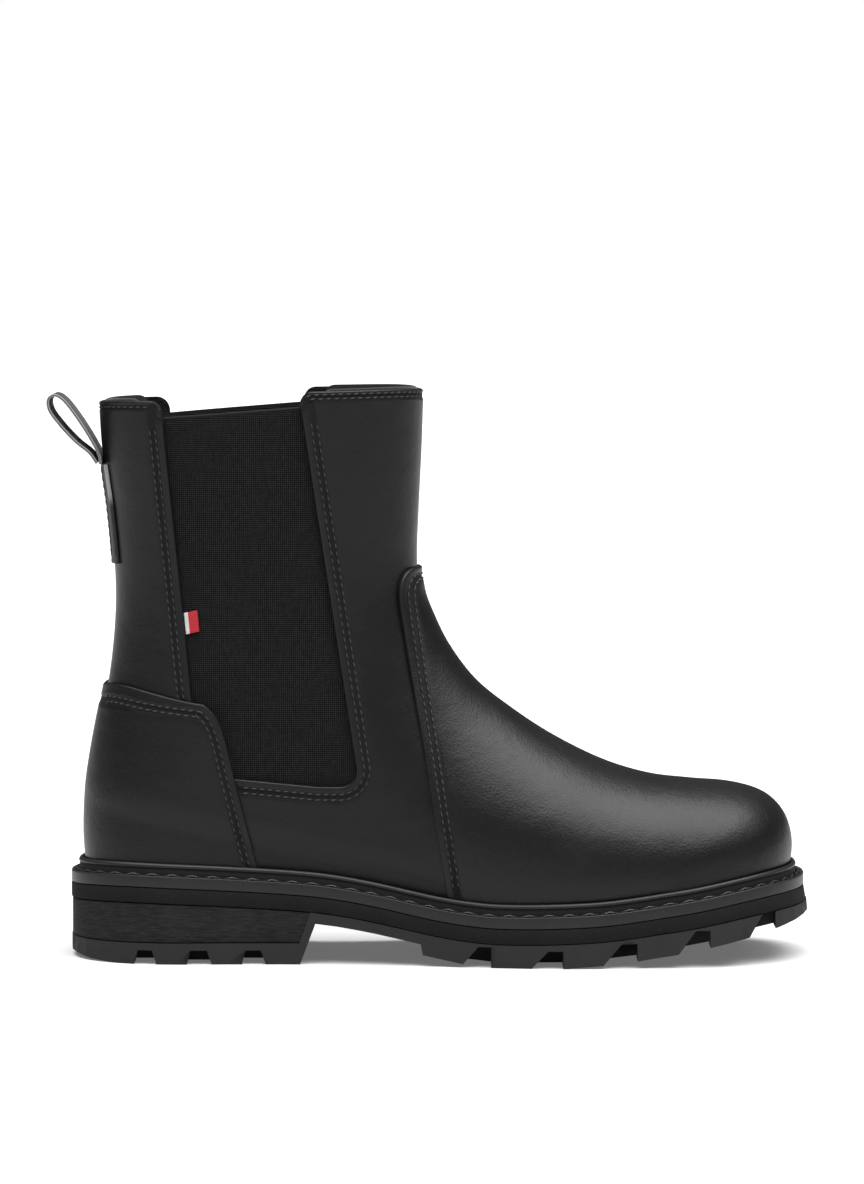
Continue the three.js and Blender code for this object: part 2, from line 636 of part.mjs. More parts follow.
function outsoleSide() {
  const tread = [];
  for (const x of [FORE_START + 0.8, ...FORE_GAPS.flat(), gradeX(292)]) tread.push([x, treadZ(x)]);
  const breastTop = outsoleTop(BREAST_TOP) - SHANK_SOLE;
  return [
    [-9, HEEL_LIFT],
    [-9, TREAD_LEVEL + 4.5],
    [gradeX(9), TREAD_LEVEL + 0.9],
    [gradeX(20), TREAD_LEVEL],
    [BREAST_FOOT, TREAD_LEVEL],
    [breastX(breastTop), breastTop],
    ...range(BREAST_TOP + 8, FORE_START, 4).map((x) => [x, outsoleTop(x) - SHANK_SOLE]),
    ...tread,
    [SOLE_LENGTH + 9, TOE_SPRING + 2.5],
    ...range(SOLE_LENGTH + 9, BREAST_TOP, 26).map((x) => [x, outsoleTop(x)]),
    [heelBlockFrontX(outsoleTop(BREAST_TOP)) + CLEAR, outsoleTop(BREAST_TOP - 4)],
    [heelBlockFrontX(HEEL_LIFT) + CLEAR, HEEL_LIFT],
  ];
}

function heelBlockSide() {
  const front = gradeX(BASE_LENGTH * 0.32);
  const topFront = outsoleTop(front);
  return [
    [-9, HEEL_LIFT + CLEAR],
    [heelBlockFrontX(HEEL_LIFT), HEEL_LIFT + CLEAR],
    [heelBlockFrontX(topFront), topFront],
    ...range(heelBlockFrontX(topFront) - 6, -9, 8).map((x) => [x, outsoleTop(x)]),
  ];
}

function outsole() {
  let solid = toManifold(acrossBoot(outsoleSide(), -HALF_SPAN, HALF_SPAN)).intersect(toManifold(soleBlank(TREAD_LEVEL - 1)));
  const cut = (outline, from, to) => {
    solid = solid.subtract(toManifold(acrossBoot(outline, from, to)));
  };
  const edgeY = (x, side) => {
    const p = LOOP.filter((q) => (q.y - centreY(q.x)) * side >= 0).reduce((a, b) =>
      Math.abs(b.x - x) < Math.abs(a.x - x) ? b : a,
    );
    return side * (Math.abs(p.y) + rimOffset(x) - LUG_WIDTH);
  };
  for (const side of [-1, 1]) {
    for (const [from, to] of FORE_GAPS) {
      const root = Math.max(treadZ(from), treadZ(to)) + LUG_DEPTH;
      const outline = [[from, treadZ(from) - 0.4], [to, treadZ(to) - 2], [to, root], [mix(from, to, 0.55), root]];
      const inner = edgeY((from + to) / 2, side);
      cut(outline, Math.min(inner, side * HALF_SPAN), Math.max(inner, side * HALF_SPAN));
    }
    for (const [from, to] of HEEL_GAPS) {
      const low = TREAD_LEVEL - 1;
      const root = TREAD_LEVEL + HEEL_NOTCH;
      const outline = [[from, low], [to, low], [to - 2.2, root], [from + 1.6, root]];
      const inner = edgeY((from + to) / 2, side);
      cut(outline, Math.min(inner, side * HALF_SPAN), Math.max(inner, side * HALF_SPAN));
    }
    // the channel between the edge cleats and the middle ones, a straight run for each cleat
    const runs = [...FORE_GAPS.slice(0, 4).map(([a], i) => [a - 4, FORE_GAPS[i + 1][0] - 3.5]), [gradeX(14), gradeX(86)]];
    for (const [from, to] of runs) {
      const floor = (x) => (x < BREAST_TOP ? TREAD_LEVEL : treadZ(x));
      const depth = from < BREAST_TOP ? HEEL_NOTCH : LUG_DEPTH * 0.8;
      const outline = [
        [from, floor(from) - 1],
        [to, floor(to) - 1],
        [to, floor(to) + depth],
        [from, floor(from) + depth],
      ];
      const outerY = edgeY(from < BREAST_TOP ? gradeX(60) : (from + to) / 2, side);
      const innerY = outerY - side * CHANNEL_WIDTH;
      cut(outline, Math.min(outerY, innerY), Math.max(outerY, innerY));
    }
  }
  // gaps across the middle cleats, half a pitch away from the edge gaps
  const gap = (x, floor, depth) => {
    const half = CHANNEL_WIDTH / 2;
    return [[x - half, floor - 3], [x + half, floor - 3], [x + half, floor + depth], [x - half, floor + depth]];
  };
  const middles = FORE_GAPS.slice(0, 4).map(([a], i) => (a + FORE_GAPS[i + 1][1]) / 2);
  const reach = LAST_WIDTH / 2 + WELT_SHOW_HEEL - LUG_WIDTH - 2;
  for (const x of middles) {
    cut(gap(x, treadZ(x), LUG_DEPTH * 0.8), -reach, reach);
  }
  for (const x of [gradeX(42), gradeX(64)]) cut(gap(x, TREAD_LEVEL, HEEL_NOTCH), -LUG_WIDTH, LUG_WIDTH);
  return toGeometry(solid);
}

const heelBlock = () => {
  const blank = slab((x) => rimOffset(x) - 0.4, () => 0, (x) => outsoleTop(x) + 4);
  return toGeometry(toManifold(acrossBoot(heelBlockSide(), -HALF_SPAN, HALF_SPAN)).intersect(toManifold(blank)));
};

// ---- Inside the sole -----------------------------------------------------------------------
const SEAT_GAP = 1.8; // the upper narrows between its widest line and the insole
const insideUpper = () => INNER_FACE - Math.max(LINING_THICK, GORE_THICK) - SEAT_GAP;
const insoleBottom = (x) => rimTop(x) + CLEAR;
const insoleTop = (x) => insoleBottom(x) + INSOLE_THICK;
const fillerTop = (x) => rimTop(x);
const fillerBottom = (x) => midsoleTop(x) + CLEAR;

// A strip of spring steel along the waist, let into the top of the filler.
function shankSide(grow) {
  const xs = range(gradeX(58) - grow, gradeX(168) + grow, 10);
  return [
    ...xs.map((x) => [x, fillerTop(x) - SHANK_THICK - grow]),
    ...xs.reverse().map((x) => [x, fillerTop(x) + (grow > 0 ? 5 : 0)]),
  ];
}
const shank = () => acrossBoot(shankSide(0), -SHANK_WIDTH / 2, SHANK_WIDTH / 2);
const filler = () => {
  const blank = slab(() => -FLANGE_DEPTH - CLEAR, fillerBottom, fillerTop);
  const slot = acrossBoot(shankSide(CLEAR), -SHANK_WIDTH / 2 - CLEAR, SHANK_WIDTH / 2 + CLEAR);
  return toGeometry(toManifold(blank).subtract(toManifold(slot)));
};

// ---- Pull tab ------------------------------------------------------------------------------
// The tail is sewn to the back of the shaft. The loop above it is one strip bent back on itself.
const TAIL_FOOT = gradeZ(157.5);
const TAIL_TOP = gradeZ(196);
function tailOutline(u, v) {
  const z = mix(TAIL_FOOT, TAIL_TOP, u);
  const across = (v * TAB_WIDTH) / 2 / shaftHalfWidth(z);
  return [backX(z) + heelRound(z) * (1 - (1 - across ** FULLNESS) ** (1 / FULLNESS)), z];
}
const LOOP_FOOT = { x: backX(TAIL_TOP) - CLEAR, z: TAIL_TOP + 1.4 };
function pullLoop() {
  // offsets from the foot of the loop, out along one strand, round the end and back
  const strip = [
    [-2.4, 0], [-5.4, 4.2], [-10.8, 8.6], [-17, 15.2], [-21.4, 21.4], [-21.8, 26.2], [-18.8, 28.2],
    [-14.8, 26], [-9.6, 19.4], [-4.2, 11], [-0.5, 3.8], [0, 0],
  ];
  const outer = new THREE.SplineCurve(strip.map(([x, z]) => new THREE.Vector2(x, z))).getPoints(34);
  const hole = outer.map((p, i) => {
    const a = outer[Math.max(i - 1, 0)];
    const b = outer[Math.min(i + 1, outer.length - 1)];
    const t = b.clone().sub(a).normalize();
    return new THREE.Vector2(p.x + t.y * TAB_THICK, p.y - t.x * TAB_THICK);
  });
  const shape = new THREE.Shape(outer);
  // the two strands are sewn together where no hole fits between them
  const clear = hole.filter((p) => outer.every((q) => q.distanceTo(p) > TAB_THICK * 0.98));
  shape.holes.push(new THREE.Path(clear.reverse()));
  const geometry = new THREE.ExtrudeGeometry(shape, { depth: TAB_WIDTH, bevelEnabled: false });
  geometry.rotateX(Math.PI / 2);
  geometry.translate(LOOP_FOOT.x, TAB_WIDTH / 2, LOOP_FOOT.z);
  return geometry;
}

// ---- Materials -----------------------------------------------------------------------------
const material = (color, roughness, metalness = 0) => new THREE.MeshStandardMaterial({ color, roughness, metalness });
const blackLeather = material(0x242424, 0.55);
const strapLeather = material(0x2a2a29, 0.7);
const elastic = material(0x171717, 0.95);
const felt = material(0x2b2b2b, 1);
const board = material(0x8a6f4d, 0.9);
const cork = material(0x9c7446, 1);
const steel = material(0x9a9c9f, 0.35, 1);
const weltRubber = material(0x343434, 0.6);
const foam = material(0x1d1d1d, 0.85);
const treadRubber = material(0x2c2c2c, 0.75);
const stackRubber = material(0x2a2a2a, 0.9);
const thread = material(0x3b3b3b, 0.7);
const redTape = material(0xc8202c, 0.8);

// ---- Assembly ------------------------------------------------------------------------------
const boot = new THREE.Group();
const add = (name, geometry, finish) => {
  const mesh = new THREE.Mesh(geometry, finish);
  mesh.name = name;
  boot.add(mesh);
};
const lining = { inner: INNER_FACE - LINING_THICK, outer: INNER_FACE };
const gore = { inner: INNER_FACE - GORE_THICK, outer: INNER_FACE };

const vampPanel = (from, to, layer) =>
  panel({ outline: vampOutline, rows: vampRows(from, to), columns: VAMP_COLUMNS, ...layer });
add('vamp', vampPanel(0, VAMP_ROWS, OVER), blackLeather);
add('toe_puff', vampPanel(0, PUFF_ROW, { inner: -TOE_PUFF_THICK, outer: 0 }), felt);
add('vamp_interlining', vampPanel(PUFF_ROW + 0.1, EDGE_ROW - 0.15, { inner: -INTERLINING_THICK, outer: 0 }), felt);
add('vamp_lining', vampPanel(0, EDGE_ROW - 0.15, lining), felt);

const frontRows = range(0, 1, FRONT_ROWS.reduce((a, b) => a + b));
const frontPanel = frontPanelOutline({ reach: 0, corner: GORE_CORNER, rear: FRONT_REAR, top: 0 });
add('front_panel', panel({ outline: frontPanel, rows: frontRows, columns: range(0, 1, 6), ...MAIN }), blackLeather);
const frontLining = frontPanelOutline({
  reach: OVERLAP + 0.5,
  corner: 0.8,
  rear: gradeX(54),
  top: LINING_PROUD,
});
add('front_lining', panel({ outline: frontLining, rows: frontRows, columns: range(0, 1, 6), ...lining }), felt);

const backPanel = backPanelOutline({ gap: 0.5, reach: 0, top: 0 });
add('back_panel', panel({ outline: backPanel, rows: range(0, 1, 8), columns: range(0, 1, 7), ...MAIN }), blackLeather);
const backLining = backPanelOutline({ gap: 0.5, reach: -OVERLAP - 0.5, top: LINING_PROUD });
add('back_lining', panel({ outline: backLining, rows: range(0, 1, 8), columns: range(0, 1, 6), ...lining }), felt);

const foxing = heelOutline({ front: 0, top: 0 });
add('heel_foxing', panel({ outline: foxing, rows: range(0, 1, 7), columns: range(0, 1, 9), ...OVER }), blackLeather);
const counterFront = foxingFront(0)[0] - FRONT_REAR - REAR_SLANT + COUNTER_GAP;
const counter = heelOutline({ front: counterFront, top: 1 });
const counterLayer = { inner: -COUNTER_THICK - CLEAR, outer: -CLEAR };
add('heel_counter', panel({ outline: counter, rows: range(0, 1, 7), columns: range(0, 1, 9), ...counterLayer }), board);
const heelLining = (u, v) => {
  const z = mix(panelFoot(gradeX(30)), foxingTop(v * 0.7)[1] - 3, u);
  return [mix(backX(z), goreRearX(z) - OVERLAP - 0.5, crowdStart(v)), z];
};
add('heel_lining', panel({ outline: heelLining, rows: range(0, 1, 7), columns: range(0, 1, 8), ...lining }), felt);

const goreOutline = (u, v) => {
  const across = mix(-OVERLAP, OVERLAP, v);
  const x = (z) => mix(goreRearX(z), goreFrontX(z), v) + across;
  const footX = x(GORE_BOTTOM - OVERLAP);
  const z = mix(goreFloor(footX) - OVERLAP, goreTopZ(x(gradeZ(218))), u);
  return [x(z), z];
};
for (const [name, side] of [['gore_outer_side', -1], ['gore_inner_side', 1]]) {
  const rows = range(0, 1, 10);
  add(name, panel({ outline: goreOutline, rows, columns: range(0, 1, 5), sides: [side], ...gore }), elastic);
}
const labelOutline = (u, v) => {
  const z = mix(gradeZ(130.3), gradeZ(138.8), u);
  return [goreRearX(z) + mix(CLEAR, 5.6, v), z + 1.2 * v];
};
const labelLayer = { inner: INNER_FACE + CLEAR, outer: INNER_FACE + CLEAR + LABEL_THICK };
add('side_label', panel({ outline: labelOutline, rows: [0, 1], columns: [0, 0.5, 1], sides: [-1], ...labelLayer }), redTape);
const tailLayer = { inner: CLEAR, outer: CLEAR + TAB_THICK };
add('pull_tab_tail', panel({ outline: tailOutline, rows: range(0, 1, 5), columns: range(0, 1, 3), ...tailLayer }), strapLeather);
add('pull_tab_loop', pullLoop(), strapLeather);

add('welt', ring(weltProfile), weltRubber);
add('welt_thread', ring(threadProfile), thread);
add('midsole', slab(rimOffset, midsoleBottom, midsoleTop, (x) => flare(x) * 0.3), foam);
add('heel_block', heelBlock(), stackRubber);
add('outsole', outsole(), treadRubber);
add('filler', filler(), cork);
add('shank', shank(), steel);
add('insole_board', slab(insideUpper, insoleBottom, insoleTop), board);
add('footbed', slab(() => insideUpper() - 0.5, (x) => insoleTop(x) + CLEAR, (x) => insoleTop(x) + CLEAR + FOOTBED_THICK), felt);

const box = new THREE.Box3().setFromObject(boot);
boot.position.set(-(box.min.x + box.max.x) / 2, -(box.min.y + box.max.y) / 2, -box.min.z);

export default boot;
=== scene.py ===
"""Chelsea boot for the right foot: its finished look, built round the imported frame.

Shapes are worked out in millimetres in the boot's drawing frame (x = 0 at the back of the heel,
z = 0 at the ground line, toe towards +x, outer side towards -y), and a mesh is moved into the row
frame, in metres, when it is made.
"""
import math

import bmesh
import bpy
import numpy as np
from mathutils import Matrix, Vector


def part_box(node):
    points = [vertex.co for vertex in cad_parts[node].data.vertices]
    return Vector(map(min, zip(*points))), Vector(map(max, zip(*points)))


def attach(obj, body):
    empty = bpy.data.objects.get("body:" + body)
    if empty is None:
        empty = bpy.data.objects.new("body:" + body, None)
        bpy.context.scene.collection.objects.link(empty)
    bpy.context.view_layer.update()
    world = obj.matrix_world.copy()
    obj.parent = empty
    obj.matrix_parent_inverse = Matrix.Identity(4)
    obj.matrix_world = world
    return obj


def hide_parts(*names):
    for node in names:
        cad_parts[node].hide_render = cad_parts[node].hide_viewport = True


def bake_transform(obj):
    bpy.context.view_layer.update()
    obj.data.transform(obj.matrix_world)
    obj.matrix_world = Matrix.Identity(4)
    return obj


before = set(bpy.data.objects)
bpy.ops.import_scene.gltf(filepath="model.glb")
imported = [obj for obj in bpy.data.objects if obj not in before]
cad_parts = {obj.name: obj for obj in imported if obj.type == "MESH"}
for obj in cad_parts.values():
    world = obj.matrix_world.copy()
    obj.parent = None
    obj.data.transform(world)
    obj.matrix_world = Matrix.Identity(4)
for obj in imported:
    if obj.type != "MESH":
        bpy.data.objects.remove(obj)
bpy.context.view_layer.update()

MM = 0.001
SHANK_START = 58
TREAD_LEVEL = -1
shank_low, shank_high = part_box("shank")
ORIGIN = np.array([
    shank_low.x - SHANK_START * MM,
    (shank_low.y + shank_high.y) / 2,
    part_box("outsole")[0].z - TREAD_LEVEL * MM,
])


def placed(point):
    """A drawing point in millimetres as a place in the row frame."""
    return ORIGIN + np.asarray(point, float) * MM


# ---- Camera ----------------------------------------------------------------------------------
CAMERA_STAND = (146, -2200, 295)
CAMERA_TILT = 3.894  # degrees down from level
camera_lens = bpy.data.cameras.new("camera")
camera_lens.lens = 166.17
camera_lens.sensor_width = 36
camera_lens.clip_start = 0.05
camera_lens.clip_end = 60
camera = bpy.data.objects.new("camera", camera_lens)
camera.location = placed(CAMERA_STAND)
camera.rotation_euler = (math.radians(90 - CAMERA_TILT), 0, 0)
bpy.context.scene.collection.objects.link(camera)
bpy.context.scene.camera = camera
bpy.context.scene.view_settings.view_transform = "Standard"

# ---- Sizes, as in the CAD part ---------------------------------------------------------------
BOOT_HEIGHT = 228.5
SHAFT_WIDTH = 74
LEATHER = 1.7
WELT_THICK = 4.5
MIDSOLE_THICK = 6
HEEL_LIFT = 7.4
CLEAR = 0.3
OVERLAP = 8
GORE_CORNER = 7
RIM_CORNER = 5
FRONT_DIP = 1.6
BACK_DIP = 0.9
WELT_SHOW = (5.4, 5.6)
LIP_THICK = 2.2
LIP_RISE = 4.6
RIM_WIDTH = 1.7
GROOVE_DEPTH = 1.1
FLANGE_DEPTH = 8
TAB_WIDTH = 25
TAB_THICK = 1.3
LINING_PROUD = 0.8
FULLNESS = 2.3
OVER_TOP = 2.3  # outside of the vamp and the heel foxing, above the last
OVER_UNDER = 0.6  # their inside
INNER_FACE = -2.4  # outside of linings and gores
LINING_THICK = 1.4
GORE_THICK = 1.5
TOE_START = 240
TOE_INWARDS = 4
FLARE = 2.9


def mix(a, b, t):
    return a + (b - a) * t


def smooth(low, high, x):
    """0 below low and 1 above high, with a smooth step between them."""
    t = np.clip((x - low) / (high - low), 0, 1)
    return t * t * (3 - 2 * t)


def graph(points):
    """A smooth graph through (x, value) points: cubic between them, straight beyond them."""
    xs, ys = np.array(points, float).T
    order = np.arange(len(xs))
    before, after = np.maximum(order - 1, 0), np.minimum(order + 1, len(xs) - 1)
    slopes = (ys[after] - ys[before]) / (xs[after] - xs[before])

    def at(x):
        x = np.asarray(x, float)
        i = np.clip(np.searchsorted(xs, x) - 1, 0, len(xs) - 2)
        span = xs[i + 1] - xs[i]
        t = np.clip((x - xs[i]) / span, 0, 1)
        rise = ys[i + 1] - ys[i]
        bend = (slopes[i] * span - rise) * (1 - t) + (rise - slopes[i + 1] * span) * t
        beyond = slopes[0] * np.minimum(x - xs[0], 0) + slopes[-1] * np.maximum(x - xs[-1], 0)
        return ys[i] + rise * t + t * (1 - t) * bend + beyond

    return at


def spline(points):
    """A curve through (x, z) points for t from 0 to 1. At each point it runs the way its two
    neighbours lie."""
    knots = np.array(points, float)
    last = len(knots) - 1

    def at(t):
        place = np.clip(np.asarray(t, float), 0, 1) * last
        i = np.floor(place).astype(int)
        w = (place - i)[..., None]
        a, b = knots[np.maximum(i - 1, 0)], knots[i]
        c, d = knots[np.minimum(i + 1, last)], knots[np.minimum(i + 2, last)]
        start, end = (c - a) / 2, (d - b) / 2
        cubic = (2 * b - 2 * c + start + end) * w + 3 * (c - b) - 2 * start - end
        return cubic * w * w + start * w + b

    return at


# ---- Shape of the last -----------------------------------------------------------------------
front_line = spline([
    (280, 14), (284, 24), (287.4, 32.5), (289.3, 40), (289, 48), (285.8, 56), (278.5, 62.3),
    (266, 65.8), (250, 67.2), (233, 69.4), (214, 75.3), (193.5, 85.6), (176, 97.2), (162, 108.6),
    (151.5, 122.4), (145, 135.2), (141, 146.5), (140, 160), (140.7, 180), (141.9, 205),
    (142.7, 230), (143.1, 245),
])
spine_line = spline([
    (240, 14), (240, 24), (240, 32), (240, 33.5), (240, 34), (240, 34), (239, 34), (236, 33.5),
    (228, 33), (216, 32), (202, 32), (186, 33), (168, 37), (150, 45), (128, 60), (108, 82),
    (93, 108), (83, 136), (79, 165), (77.5, 195), (77, 222), (77, 240),
])
back_x = graph([
    (25, 9), (38, 8), (50, 7.3), (67, 8), (80, 9.8), (92, 12), (105, 14.6), (118, 16.6), (132, 18),
    (145, 18.5), (160, 17.9), (180, 16.1), (200, 13.5), (222, 12), (240, 11.6),
])
heel_round = graph([(30, 42), (60, 44), (100, 52), (150, 58), (200, 63.5), (230, 65)])
foot_width = {
    -1: graph([(0, 32.5), (35, 32.5), (70, 31), (100, 31.5), (130, 35), (160, 41), (190, 45.5),
               (212, 46.3), (240, 44.5)]),
    1: graph([(0, 32), (35, 32), (70, 29.5), (100, 29), (130, 31), (160, 37), (190, 42.5),
              (212, 44.3), (240, 43)]),
}
shaft_half_width = graph([
    (z, SHAFT_WIDTH / 2 + v)
    for z, v in [(60, -5), (110, -4.5), (150, -3.5), (190, -1.5), (230, 0), (245, 0.5)]
])
spine_height = graph([(60, 60), (128, 45), (150, 40), (168, 36), (186, 33), (202, 32), (240, 34)])
rim_top = graph([
    (0, 33.4), (12, 34.3), (32, 34.4), (66, 32.9), (100, 30.6), (120, 27.6), (146, 22.3),
    (160, 20.2), (173, 19.2), (197, 19.6), (218, 20.9), (248, 25.2), (268, 28.8), (282, 30.9),
    (300, 32.4),
])
UNDERCUT = 0.05  # share by which the last narrows below its widest line
UNDERCUT_DEPTH = 10
RAYS = 240
CHUNK = 6000  # points placed at once, to spare memory
ray_t = np.linspace(0, 1, RAYS + 1)
ray_spine, ray_front = spine_line(ray_t), front_line(ray_t)


def centre_y(x):
    """The last's middle line in plan, which turns in at the toe."""
    return TOE_INWARDS * smooth(150, 290, x)


def panel_foot(x):
    """The lowest line of the upper, just above the welt."""
    return rim_top(x) + CLEAR


def half_width(x, z, side):
    """Before the heel and toe are rounded off: the foot's width below, the shaft's above."""
    ahead = np.minimum(x, TOE_START)
    foot = np.where(side < 0, foot_width[-1](ahead), foot_width[1](ahead))
    return mix(foot, shaft_half_width(z), smooth(50, 130, z))


def turn(spine, front, x, z):
    """Which side of the line from spine to front the point (x, z) is on, as a signed area."""
    run, rise = front[..., 0] - spine[..., 0], front[..., 1] - spine[..., 1]
    return run * (z - spine[..., 1]) - rise * (x - spine[..., 0])


def forward(x, z):
    """How far (x, z) lies from the spine (0) to the front outline (1) along its cross-section,
    which runs between the points of both lines with the same t. The first t at which the point
    changes sides is found among RAYS of them, and sharpened by four straight-line steps."""
    xs, zs = np.ravel(x), np.ravel(z)
    share = np.zeros(len(xs))
    for part in np.array_split(np.arange(len(xs)), len(xs) // CHUNK + 1):
        areas = turn(ray_spine, ray_front, xs[part, None], zs[part, None])
        who, ray = np.nonzero((areas[:, :-1] > 0) & (areas[:, 1:] <= 0))
        px, pz = xs[part[who]], zs[part[who]]
        slope = (areas[who, ray + 1] - areas[who, ray]) * RAYS
        t = ray_t[ray]
        for _ in range(4):
            spine, front = spine_line(t), front_line(t)
            t = t - turn(spine, front, px, pz) / slope
        spine, front = spine_line(t), front_line(t)
        reach = front - spine
        along = (px - spine[:, 0]) * reach[:, 0] + (pz - spine[:, 1]) * reach[:, 1]
        found = along / (reach ** 2).sum(1)
        good = (found > 0) & (found < 1.3)
        first, at = np.unique(who[good], return_index=True)
        share[part[first]] = found[good][at]
    return share.reshape(np.shape(x))


def fullness(x, z, side):
    """(half width) ** FULLNESS at (x, z), which falls smoothly through 0 at the outline."""
    ahead = forward(x, z)
    round_off = heel_round(z)
    behind = np.maximum(0, (back_x(z) + round_off - x) / round_off) ** FULLNESS
    under = np.where(ahead > 0, 0, np.maximum(0, (spine_height(x) - z) / UNDERCUT_DEPTH))
    width = half_width(x, z, side) * (1 - UNDERCUT * np.minimum(1, under) ** 2)
    return width ** FULLNESS * (1 - ahead ** FULLNESS) * (1 - behind)


def last_surface(x, z, side, ridge=False):
    """The last's points seen at (x, z) from one side, and its outward normals there: the gradient
    of fullness(x, z) - |y - centre| ** FULLNESS. A point on the ridge lies in the middle."""
    x, z, side = (np.array(a, float) for a in np.broadcast_arrays(x, z, side))
    step = 0.4
    full = fullness(
        np.stack([x, x + step, x - step, x, x]), np.stack([z, z, z, z + step, z - step]), side
    )
    off = np.where(ridge, 0, np.maximum(full[0], 0) ** (1 / FULLNESS))
    steep = FULLNESS * off ** (FULLNESS - 1)
    lean = (centre_y(x + step) - centre_y(x - step)) / (2 * step)
    slope_x, slope_z = (full[1] - full[2]) / (2 * step), (full[3] - full[4]) / (2 * step)
    normal = np.stack([-slope_x - steep * side * lean, side * steep, -slope_z], -1)
    normal /= np.linalg.norm(normal, axis=-1, keepdims=True)
    return np.stack([x, centre_y(x) + side * off, z], -1), normal


# ---- Pattern lines of the upper --------------------------------------------------------------
def gore_front_x(z):
    """The front edge of the gore's opening."""
    return mix(115.4, 93.7, (z - 80) / 143)


def gore_rear_x(z):
    """The rear edge of the gore's opening."""
    return mix(49.8, 38.3, (z - 107) / 112)


GORE_BOTTOM = 69.5


def gore_floor(x):
    """The lower edge of the gore's opening, which rises a little towards the heel."""
    return GORE_BOTTOM + 3.2 * np.clip((100 - x) / 34, 0, 1)


vamp_seam = spline([
    (140.6, 156), (137.2, 155.6), (134, 152.4), (132.5, 145.5), (134.1, 133), (138, 110),
    (143.2, 82), (148, 54), (151.6, 32), (153, 20),
])
VAMP_TOP = 156
SEAM_SHOWN = 0.94  # share of that curve above the welt
foxing_top = spline([(14, 108.4), (24, 109.6), (35, 109.4), (46.6, 106.8), (55, 102.6)])
foxing_front = spline([
    (76.9, 33), (74.3, 49.5), (70.8, 64.5), (67, 80), (63.4, 93.6), (60, 98.8), (55, 102.6),
])

fine_t = np.linspace(0, 1, 10001)
fine_front = front_line(fine_t)
vamp_first = fine_t[np.argmax(fine_front[:, 1] >= panel_foot(fine_front[:, 0]))]
vamp_last = fine_t[np.nonzero(fine_front[:, 1] <= VAMP_TOP)[0][-1]]
TOE_STEPS = 1 / 2.26  # share of the vamp's rows whose feet go round the toe
shaft_front = fine_front[fine_front[:, 0] < 200]


def front_x(z):
    """The shaft's front outline."""
    return np.interp(z, shaft_front[:, 1], shaft_front[:, 0])


def crowd_start(t):
    """Crowds even steps from 0 to 1 together near 0."""
    return 1 - np.cos(t * math.pi / 2)


def crowd_end(t):
    """Crowds even steps from 0 to 1 together near 1."""
    return np.sin(t * math.pi / 2)


def vamp_outline(row, column):
    """Rows run from the tip of the toe (0) to the seam (1), columns from the ridge to the welt: a
    straight line from the ridge to the foot of the row, bent towards the seam's curve near it."""
    row, column = np.broadcast_arrays(row, column)
    ridge = front_line(mix(vamp_first, vamp_last, row))
    tip_x = front_line(vamp_first)[0]
    seam_foot_x = vamp_seam(SEAM_SHOWN)[0]
    toe = np.cos(np.clip(row / TOE_STEPS, 0, 1) * math.pi / 2) ** (2 / FULLNESS)
    foot_x = np.where(
        row < TOE_STEPS,
        mix(TOE_START, tip_x, toe),
        mix(TOE_START, seam_foot_x, (row - TOE_STEPS) / (1 - TOE_STEPS)),
    )
    foot = np.stack([foot_x, np.minimum(panel_foot(foot_x), ridge[..., 1])], -1)
    t = crowd_start(column)[..., None]
    seam_end = np.array([seam_foot_x, panel_foot(seam_foot_x)])
    seam = vamp_seam(SEAM_SHOWN * t[..., 0])
    seam[..., 1] = np.maximum(seam[..., 1], seam_end[1])
    bend = seam - mix(vamp_seam(0.0), seam_end, t)
    point = mix(ridge, foot, t) + smooth(0.65, 1, row)[..., None] * bend
    return point[..., 0], point[..., 1]


FRONT_ROWS = (3, 3, 3, 8, 6)
EDGE_ROW = 17 / 18  # row of the vamp over the front panel's edge
LINING_ROW = 16.85 / 18  # row of the vamp at which its lining ends
FLOOR_SPLIT, RISE_SPLIT = 88, 146  # where the gore's floor and its front edge are cut in two
FOOT_SPLITS = (100, 132)  # and the cuts along the welt that answer them
GORE_DIP = 1.5  # how far the front panel's top line falls towards the gore
BACK_TOP = 223.2


